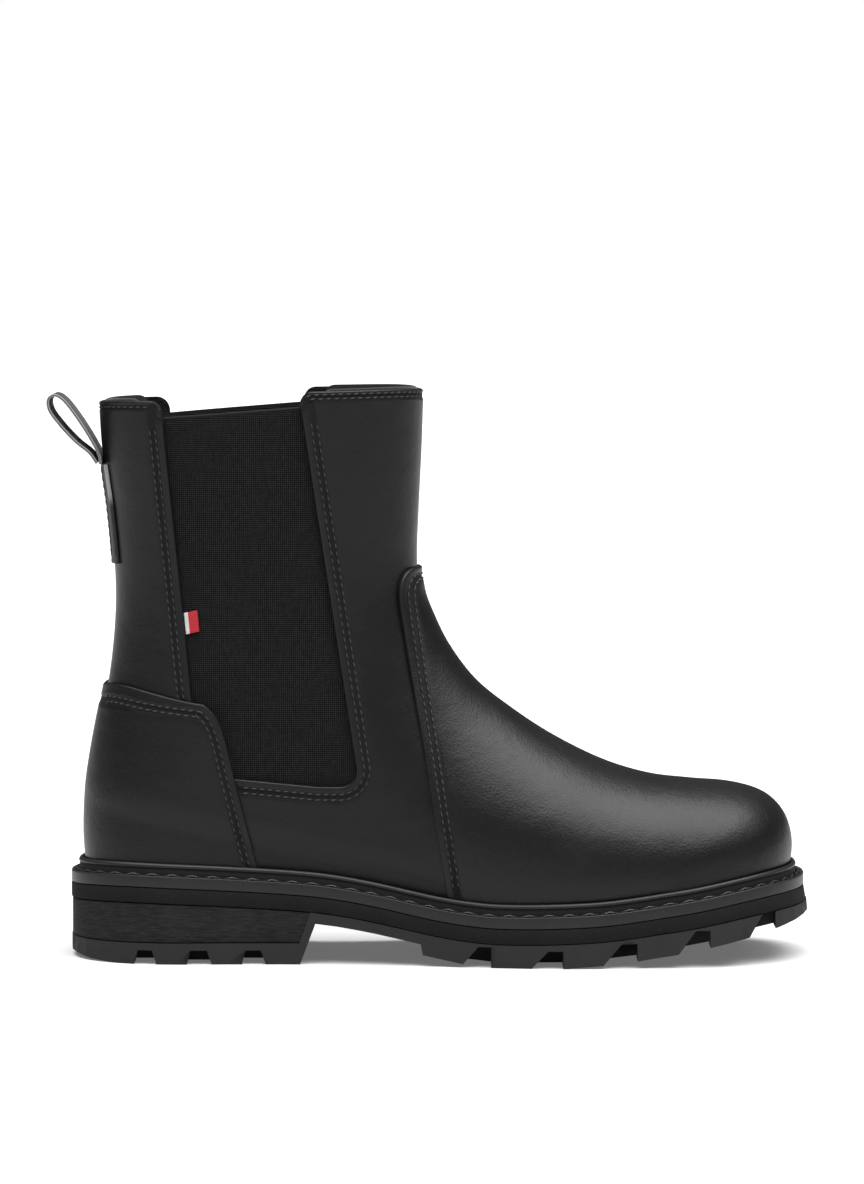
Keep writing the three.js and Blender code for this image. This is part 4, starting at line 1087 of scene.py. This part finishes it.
def seam_path(panel, line, distance, inward, start=0.0, end=0.0):
    """Where a row of stitches lies: a border of a pattern moved inwards by a distance, laid on the
    panel's outside on each side of the boot, without the first and last millimetres."""
    run = np.gradient(line, axis=0)
    run /= np.linalg.norm(run, axis=1, keepdims=True)
    settled = np.searchsorted(distance_along(line), 2)  # the run of the first 2 mm is uneven
    run[:settled] = run[settled]
    gap = distance(line[:, 0]) if callable(distance) else distance
    moved = line + np.stack([-run[:, 1], run[:, 0]], 1) * inward * np.reshape(gap, (-1, 1))
    x, z = moved.T
    x = np.minimum(np.maximum(x, back_x(z)), np.where(z > SHAFT_FOOT, front_x(z), x))
    ridge = (x <= back_x(z)) | ((z > SHAFT_FOOT) & (x >= front_x(z)))
    clear = panel.inset(x, z) > gap - 0.3  # a tight corner's inner turn would loop
    live = np.flatnonzero(~ridge & clear)
    run_on = np.union1d(live, [max(live[0] - 1, 0)])  # from the point on the ridge, if there is one
    paths = []
    for side in (-1, 1):
        point, normal = last_surface(x, z, side, ridge)
        point = point + normal * panel.height(x, z)[:, None]
        point, normal = point[run_on], normal[run_on]
        far = distance_along(point)
        keep = (far >= start) & (far <= far[-1] - end)
        paths.append((point[keep], normal[keep]))
    return paths


def stitches(
    name, paths, material, body, pitch=3.2, length=3.2, radius=0.31, lift=0.6, stands_for=()
):
    """Threads laid end to end along paths of (points, normals). Each swells out of one hole and
    sinks into the next: five rings of six points on a low arch."""
    along = np.array([0, 0.14, 0.5, 0.86, 1])
    thick = np.array([1.15, 0.95, 1.05, 0.95, 1.15]) * radius
    rise = np.array([-0.5, 0.1, 1, 0.1, -0.5]) * radius * lift
    angle = np.linspace(0, 2 * math.pi, 7)
    points, normals, runs = [], [], []
    for point, normal in paths:
        far = distance_along(point)
        at = np.arange(pitch / 2, far[-1] - pitch / 2, pitch)
        reach = 0.4 * pitch
        middle, ahead, behind, up = (
            np.stack([np.interp(s, far, values[:, k]) for k in range(3)], 1)
            for s, values in ((at, point), (at + reach, point), (at - reach, point), (at, normal))
        )
        run = ahead - behind
        points.append(middle)
        normals.append(up / np.linalg.norm(up, axis=1, keepdims=True))
        runs.append(run / np.linalg.norm(run, axis=1, keepdims=True))
    point, normal, run = (np.concatenate(a)[:, None, None, :] for a in (points, normals, runs))
    over = np.cross(normal, run)
    run = run + over * 0.1
    s = ((along - 0.5) * length)[None, :, None, None]
    arch = (rise + radius * 0.25)[None, :, None, None]
    lifted = arch + (thick[:, None] * np.sin(angle))[None, ..., None]
    aside = (thick[:, None] * np.cos(angle))[None, ..., None]
    body_points = point + run * s + normal * lifted + over * aside
    caps = [body_points[:, [k, k]] for k in (0, -1)]
    for cap, k in zip(caps, (0, -1)):
        cap[:, 1 if k else 0] = body_points[:, k].mean(axis=1, keepdims=True)
    rings = np.concatenate([caps[0][:, :1], body_points, caps[1][:, 1:]], 1)
    spread = np.concatenate([[0], along, [1]])
    end = np.broadcast_to(np.abs(spread * 2 - 1)[None, :, None], rings.shape[:3])
    turn_at = np.broadcast_to((angle / (2 * math.pi))[None, None, :], rings.shape[:3])
    length_at = np.broadcast_to(spread[None, :, None], rings.shape[:3])
    pattern = np.stack([turn_at, length_at], -1)
    # each thread is a grid of its own, so that the last ring of one doesn't join the next
    grids = [rings[i] for i in range(len(rings))]
    return make(
        name, grids, material, body=body, slot="welt_thread", stands_for=stands_for,
        marks={"end": [end]}, uv=[pattern], sharp=70,
    )


def rows(panel, line, middle, half, inward, **how):
    """The two paths of a double row."""
    paths = []
    for offset in (-half, half):
        gap = (lambda x, o=offset: middle(x) + o) if callable(middle) else middle + offset
        paths += seam_path(panel, line, gap, inward, **how)
    return paths


stitches(
    "vamp_stitches", rows(vamp, vamp_edge, GORE_SEAM, ROW_HALF, 1, end=2), upper_thread, FOOT
)
stitches(
    "heel_foxing_stitches", rows(foxing, foxing_edge, foxing_seam, ROW_HALF, -1, end=2),
    upper_thread, FOOT,
)
stitches(
    "front_panel_stitches",
    rows(front_panel, gore_edge, GORE_SEAM, ROW_HALF, -1, start=9, end=4)
    + rows(front_panel, front_top, TOP_SEAM, TOP_ROW_HALF, -1, start=3),
    upper_thread, FOOT,
)
stitches(
    "back_panel_stitches",
    rows(back_panel, rear_edge, GORE_SEAM, ROW_HALF, 1, end=3)
    + seam_path(back_panel, back_top, BACK_TOP_SEAM, -1, end=3),
    upper_thread, BACK_SHAFT,
)

# ---- Welt, midsole and heel ------------------------------------------------------------------
STATIONS = 120


def footprint():
    """The last's outline at the welt: matched points along both sides from heel to toe, closer
    together at the ends, as one loop with its outward normals in plan."""
    heel_end = float(back_x(rim_top(0) + LIP_RISE))
    xs = np.arange(TOE_START, 300, 0.05)
    toe_end = xs[np.argmax(fullness(xs, rim_top(xs) + LIP_RISE, 1) <= 0)] - 0.05
    x = mix(heel_end, toe_end, (1 - np.cos(np.linspace(0, math.pi, STATIONS + 1))) / 2)
    sides = []
    for side in (-1, 1):
        off = np.maximum(0, fullness(x, rim_top(x) + LIP_RISE, side)) ** (1 / FULLNESS)
        off[[0, -1]] = 0
        sides.append(np.stack([x, centre_y(x) + side * off], 1))
    around = np.concatenate([sides[0], sides[1][-2:0:-1]])
    run = np.roll(around, -1, axis=0) - np.roll(around, 1, axis=0)
    run /= np.linalg.norm(run, axis=1, keepdims=True)
    return around, np.stack([run[:, 1], -run[:, 0]], 1)


loop, loop_out = footprint()
loop_x = loop[:, 0]
rim_offset = OVER_TOP + mix(*WELT_SHOW, (loop_x - loop_x.min()) / np.ptp(loop_x))
flare = FLARE * smooth(230, 290, loop_x)


def midsole_top(x):
    return rim_top(x) - WELT_THICK - CLEAR


def midsole_bottom(x):
    return midsole_top(x) - MIDSOLE_THICK


def outsole_top(x):
    return midsole_bottom(x) - CLEAR


def ring_at(offset, height):
    """The footprint moved outwards by an offset, at a height that is a function of x."""
    flat = loop + loop_out * np.broadcast_to(offset, loop_x.shape)[:, None]
    return np.column_stack([flat, height(flat[:, 0])])


def closed(grid):
    """A grid whose columns run on into the first one again."""
    return np.concatenate([grid, grid[:, :1]], 1)


def eased(corners, cuts, steps=5):
    """A closed outline whose corners are rounded: each is replaced by a short curve that begins and
    ends its cut away, along the straight sides. Corners are (station, corner, 2)."""
    before, after = np.roll(corners, 1, axis=1), np.roll(corners, -1, axis=1)

    def towards(other):
        side = other - corners
        length = np.linalg.norm(side, axis=-1, keepdims=True)
        return corners + side / length * np.minimum(np.array(cuts)[None, :, None], length * 0.48)

    t = np.linspace(0, 1, steps)[None, None, :, None]
    a, b = towards(before)[:, :, None], towards(after)[:, :, None]
    curve = a * (1 - t) ** 2 + corners[:, :, None] * 2 * t * (1 - t) + b * t * t
    return curve.reshape(len(corners), -1, 2)


def carried(name, corners, cuts, material, **how):
    """A closed profile of (offset, height above the rim's line) corners, carried round the boot.
    Its stitch groove is marked, as it is in shade."""
    table = np.stack([np.stack(np.broadcast_arrays(o, h, loop_x)[:2], 1) for o, h in corners], 1)
    profile = eased(table, cuts)
    flat = loop[:, None] + loop_out[:, None] * profile[..., :1]
    z = rim_top(flat[..., 0]) + profile[..., 1]
    grid = np.concatenate([flat, z[..., None]], -1)
    offset, height = profile[..., 0], profile[..., 1]
    between_walls = (offset > GROOVE_IN - 0.75) & (offset < groove_out[:, None] + 0.2)
    shade = between_walls & (height < LIP_RISE - 1.3)
    grid = np.concatenate([grid, shade[..., None]], -1)
    grid = closed(np.concatenate([grid, grid[:1]], 0))
    return make(name, [grid[..., :3]], material, body=FOOT, marks={"shade": [grid[..., 3]]}, **how)


def across(ring, count=13):
    """Rows across the foot between the matched points of a ring's two sides."""
    outer = ring[:STATIONS + 1]
    inner = ring[-np.arange(STATIONS + 1) % len(ring)]
    t = np.linspace(0, 1, count)[None, :, None]
    return outer[:, None] * (1 - t) + inner[:, None] * t


def sole_layer(name, levels, material, dish=0.0, **how):
    """A slab whose wall passes through rings of (offset, height), closed below and above. The top
    may be dished by some millimetres in the middle."""
    rings = np.stack([ring_at(offset, height) for offset, height in levels])
    top = across(rings[-1])
    width = np.linalg.norm(top[:, :1] - top[:, -1:], axis=-1)
    hollow = (1 - np.linspace(-1, 1, top.shape[1]) ** 4)[None, :]
    top[..., 2] -= dish * hollow * smooth(0, 12, width)
    return make(name, [closed(rings), across(rings[0]), top], material, body=FOOT, **how)


LIP_INNER = OVER_TOP + CLEAR
GROOVE_IN = LIP_INNER + LIP_THICK
groove_out = rim_offset - RIM_WIDTH
carried(
    "storm_welt",
    [
        (-FLANGE_DEPTH, -WELT_THICK), (-FLANGE_DEPTH, 0), (LIP_INNER, 0),
        (LIP_INNER - 0.1, LIP_RISE - 0.5), (LIP_INNER + 0.5, LIP_RISE + 0.25),
        (LIP_INNER + 1.75, LIP_RISE + 0.1), (GROOVE_IN + 0.1, LIP_RISE - 1.0),
        (GROOVE_IN - 0.55, LIP_RISE - 1.95), (GROOVE_IN - 0.1, 1.2), (GROOVE_IN, -GROOVE_DEPTH),
        (groove_out, -GROOVE_DEPTH), (groove_out + 0.15, 0.05), (rim_offset, 0.05),
        (rim_offset, -WELT_THICK),
    ],
    [0.1, 0.1, 0.1, 0.5, 0.6, 0.6, 0.6, 0.35, 0.8, 0.2, 0.2, 0.3, 0.4, 0.35],
    welt_rubber, slot="welt_rubber", stands_for=["welt"],
)
thread_at = (GROOVE_IN + groove_out) / 2
welt_path = ring_at(thread_at, rim_top)
welt_path[:, 2] -= 0.15
up = np.tile([0.0, 0.0, 1.0], (len(welt_path) + 1, 1))
stitches(
    "welt_stitches", [(np.concatenate([welt_path, welt_path[:1]]), up)], sole_thread, FOOT,
    pitch=8.0, length=7.4, radius=0.48, lift=1.1, stands_for=["welt_thread"],
)
sole_layer(
    "midsole_band",
    [
        (rim_offset + flare * 0.3 - 0.5, midsole_bottom),
        (rim_offset + flare * 0.3 - 0.12, lambda x: midsole_bottom(x) + 0.1),
        (rim_offset + flare * 0.29, lambda x: midsole_bottom(x) + 0.4),
        (rim_offset + flare * 0.15, lambda x: midsole_bottom(x) + MIDSOLE_THICK / 2),
        (rim_offset, lambda x: midsole_top(x) - 0.4),
        (rim_offset - 0.12, lambda x: midsole_top(x) - 0.1),
        (rim_offset - 0.5, midsole_top),
    ],
    midsole_rubber, slot="midsole_rubber", stands_for=["midsole"],
)
FOOTBED_OFFSET = INNER_FACE - GORE_THICK - 1.8 - 0.5
footbed_bottom = CLEAR + 2.5 + CLEAR
sole_layer(
    "footbed_felt",
    [
        (FOOTBED_OFFSET, lambda x: rim_top(x) + footbed_bottom),
        (FOOTBED_OFFSET, lambda x: rim_top(x) + footbed_bottom + 3.2),
        (FOOTBED_OFFSET - 0.3, lambda x: rim_top(x) + footbed_bottom + 3.8),
        (FOOTBED_OFFSET - 1.0, lambda x: rim_top(x) + footbed_bottom + 4),
    ],
    lining, dish=1.2, slot="footbed_felt", stands_for=["footbed"],
)

# the heel block: its back follows the footprint, and its front leans as the breast does
BREAST_FOOT, BREAST_TOP, BREAST_WALL = 93.4, 100, 3.3
BREAST_RISE = 17.5
BREAST_MIDDLE = 92


def block_front(z):
    return mix(BREAST_FOOT, BREAST_TOP, (z - TREAD_LEVEL) / BREAST_RISE) - BREAST_WALL


def block_row(inset, share, extra):
    """One level of the heel block, from the outer front corner round the heel to the inner one."""
    flat = loop + loop_out * (rim_offset - 0.4 - inset)[:, None]
    bottom = HEEL_LIFT + CLEAR
    front = block_front(mix(bottom, outsole_top(BREAST_MIDDLE), share))
    heel = flat[0, 0]
    x = mix(heel, front - inset, crowd_start(np.linspace(0, 1, 60)))
    sides = []
    z = mix(bottom, outsole_top(x), share) + extra
    for side in (flat[:STATIONS], flat[[0, *range(len(flat) - 1, STATIONS, -1)]]):
        sides.append(np.stack([x, np.interp(x, *side.T), z], 1))
    return np.concatenate([sides[0][::-1], sides[1][1:]])


block = np.stack([
    block_row(inset, share, extra)
    for inset, share, extra in [
        (0.45, 0, 0), (0.1, 0, 0.12), (0, 0, 0.45), (0, 0.33, 0), (0, 0.67, 0), (0, 1, -0.45),
        (0.1, 1, -0.12), (0.45, 1, 0),
    ]
])
middle = block.shape[1] // 2
lid_t = even(9)[None, :, None]
lids = [
    row[:middle + 1][::-1][:, None] * (1 - lid_t) + row[middle:][:, None] * lid_t
    for row in (block[0], block[-1])
]
make(
    "heel_block_rubber", [block, np.stack([block[:, 0], block[:, -1]], 1), *lids], heel_rubber,
    body=FOOT, slot="heel_rubber", stands_for=["heel_block"],
)

# the cleated sole keeps the CAD node's shape, welded so that its wall reads as one curve
sole_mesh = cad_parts["outsole"].data.copy()
finished(
    "cleated_sole", sole_mesh, tread_rubber, FOOT, ["outsole"], sharp=28,
    turn_out=False,
)

# ---- Pull tab and label ----------------------------------------------------------------------
TAB_SEAM = 2.0
tail_sides = edge_line(tail_outline, sewn_t, 1)
tail_foot = edge_line(tail_outline, 0, sewn_t)
tail_panel = Panel(
    tail_outline, CLEAR + TAB_THICK, CLEAR,
    [(tail_sides, TAB_SEAM, 0.3), (tail_foot, TAB_SEAM, 0.3)],
)
tail_panel.ROUND = 0.35
tail_panel.make(
    "pull_tab_tail_strap", spaced(38.5, 24, start=True, scale=0.5),
    spaced(14, 12, end=True, scale=0.5), strap, body=BACK_SHAFT, slot="strap",
    stands_for=["pull_tab_tail"],
)
stitches(
    "pull_tab_stitches",
    seam_path(tail_panel, tail_foot, TAB_SEAM, 1, end=2.0)
    + seam_path(tail_panel, tail_sides, TAB_SEAM, 1, start=2.0),
    upper_thread, BACK_SHAFT,
)

LOOP_FOOT = (float(back_x(196)) - CLEAR, 197.4)
STRAND = 1.15  # thickness of the strap in the loop
loop_outside = spline([
    (-2.4, 0), (-5.4, 4.2), (-10.8, 8.6), (-17, 15.2), (-21.4, 21.4), (-21.8, 26.2), (-18.8, 28.2),
    (-14.8, 26), (-9.6, 19.4), (-4.2, 11), (-0.5, 3.8), (0, 0),
])(np.linspace(0, 1, 140)) + LOOP_FOOT
loop_run = np.gradient(loop_outside, axis=0)
loop_run /= np.linalg.norm(loop_run, axis=1, keepdims=True)
loop_in = np.stack([loop_run[:, 1], -loop_run[:, 0]], 1)
# the strap's section as (side, depth, pale mark): rounded edges, and pale lines by each face
SECTION = [
    (-1, 0.0, 0), (0, 0.0, 0), (1, 0.0, 0), (1, 0.1, 1), (1, 0.3, 1), (1, 0.42, 0), (1, 0.58, 0),
    (1, 0.7, 1), (1, 0.9, 1), (1, 1.0, 0), (0, 1.0, 0), (-1, 1.0, 0), (-1, 0.9, 1), (-1, 0.7, 1),
    (-1, 0.58, 0), (-1, 0.42, 0), (-1, 0.3, 1), (-1, 0.1, 1), (-1, 0.0, 0),
]
half_tab = TAB_WIDTH / 2
bulge = {0.0: -0.35, 0.1: -0.08, 0.9: -0.08, 1.0: -0.35}  # how far each depth's edge draws in
strip = np.stack([
    np.column_stack([
        loop_outside[:, 0] + loop_in[:, 0] * STRAND * depth,
        np.full(len(loop_outside), side * (half_tab + bulge.get(depth, 0.0))),
        loop_outside[:, 1] + loop_in[:, 1] * STRAND * depth,
    ])
    for side, depth, _ in SECTION
], 1)
raw = np.broadcast_to(np.array([mark for _, _, mark in SECTION])[None, :], strip.shape[:2])
ends = [np.stack([strip[k, [0, 2]], strip[k, [11, 9]]]) for k in (0, -1)]
make(
    "pull_tab_loop_strap", [strip, *ends], strap, body=PULL_LOOP, slot="strap",
    stands_for=["pull_tab_loop"], marks={"raw": [raw, *[np.zeros(e.shape[:2]) for e in ends]]},
    sharp=50,
)

label_panel.make(
    "side_label_tape", spaced(8.5, 12, start=True, end=True, scale=0.14),
    spaced(5.3, 10, end=True, scale=0.14), tape, sides=(-1,), body=BACK_SHAFT, slot="red_tape",
    stands_for=["side_label"],
)

# ---- Floor and light -------------------------------------------------------------------------
WORLD_GLOW = 0.10  # how bright the white room is as a light
FLOOR_GLOW = 0.14  # lifts the shadow, as a light table does
FLOOR_HALF = 12
world = bpy.data.worlds.new("studio")
world.use_nodes = True
world_nodes, world_links = world.node_tree.nodes, world.node_tree.links
seen = world_nodes.new("ShaderNodeLightPath")
level = world_nodes.new("ShaderNodeMapRange")
level.inputs["To Min"].default_value = WORLD_GLOW
level.inputs["To Max"].default_value = 1.0
world_links.new(seen.outputs["Is Camera Ray"], level.inputs["Value"])
world_links.new(level.outputs[0], world_nodes["Background"].inputs["Strength"])
world_nodes["Background"].inputs["Color"].default_value = (1, 1, 1, 1)
bpy.context.scene.world = world

floor_shader = Shader(
    "studio_floor", grey(0.5), 0.9, Specular_IOR_Level=0.05, Emission_Strength=FLOOR_GLOW
)
floor_shader.set("Emission Color", (1.0, 1.0, 1.0))
mottle = floor_shader.noise(floor_shader.place(), 300)
floor_shader.set("Base Color", floor_shader.blend(mottle, grey(0.49), grey(0.51)))
floor_mesh = bpy.data.meshes.new("floor")
floor_corners = [
    (x * FLOOR_HALF, y * FLOOR_HALF, 0) for x, y in ((-1, -1), (1, -1), (1, 1), (-1, 1))
]
floor_mesh.from_pydata(floor_corners, [], [(0, 1, 2, 3)])
floor_mesh.materials.append(floor_shader.material)
floor = bpy.data.objects.new("floor", floor_mesh)
bpy.context.scene.collection.objects.link(floor)


def sky(name, tilt, turn, spread, strength):
    """A wide soft overhead light: its middle is tilt degrees off straight up, towards turn degrees
    round from +X, and it fills spread degrees of the sky."""
    lamp = bpy.data.lights.new(name, "SUN")
    lamp.angle = math.radians(spread)
    lamp.energy = strength
    holder = bpy.data.objects.new(name, lamp)
    holder.rotation_euler = (0, math.radians(tilt), math.radians(turn))
    bpy.context.scene.collection.objects.link(holder)


sky("overhead", 10, -90, 76, 7.6)
sky("behind_right", 34, -20, 50, 1.3)
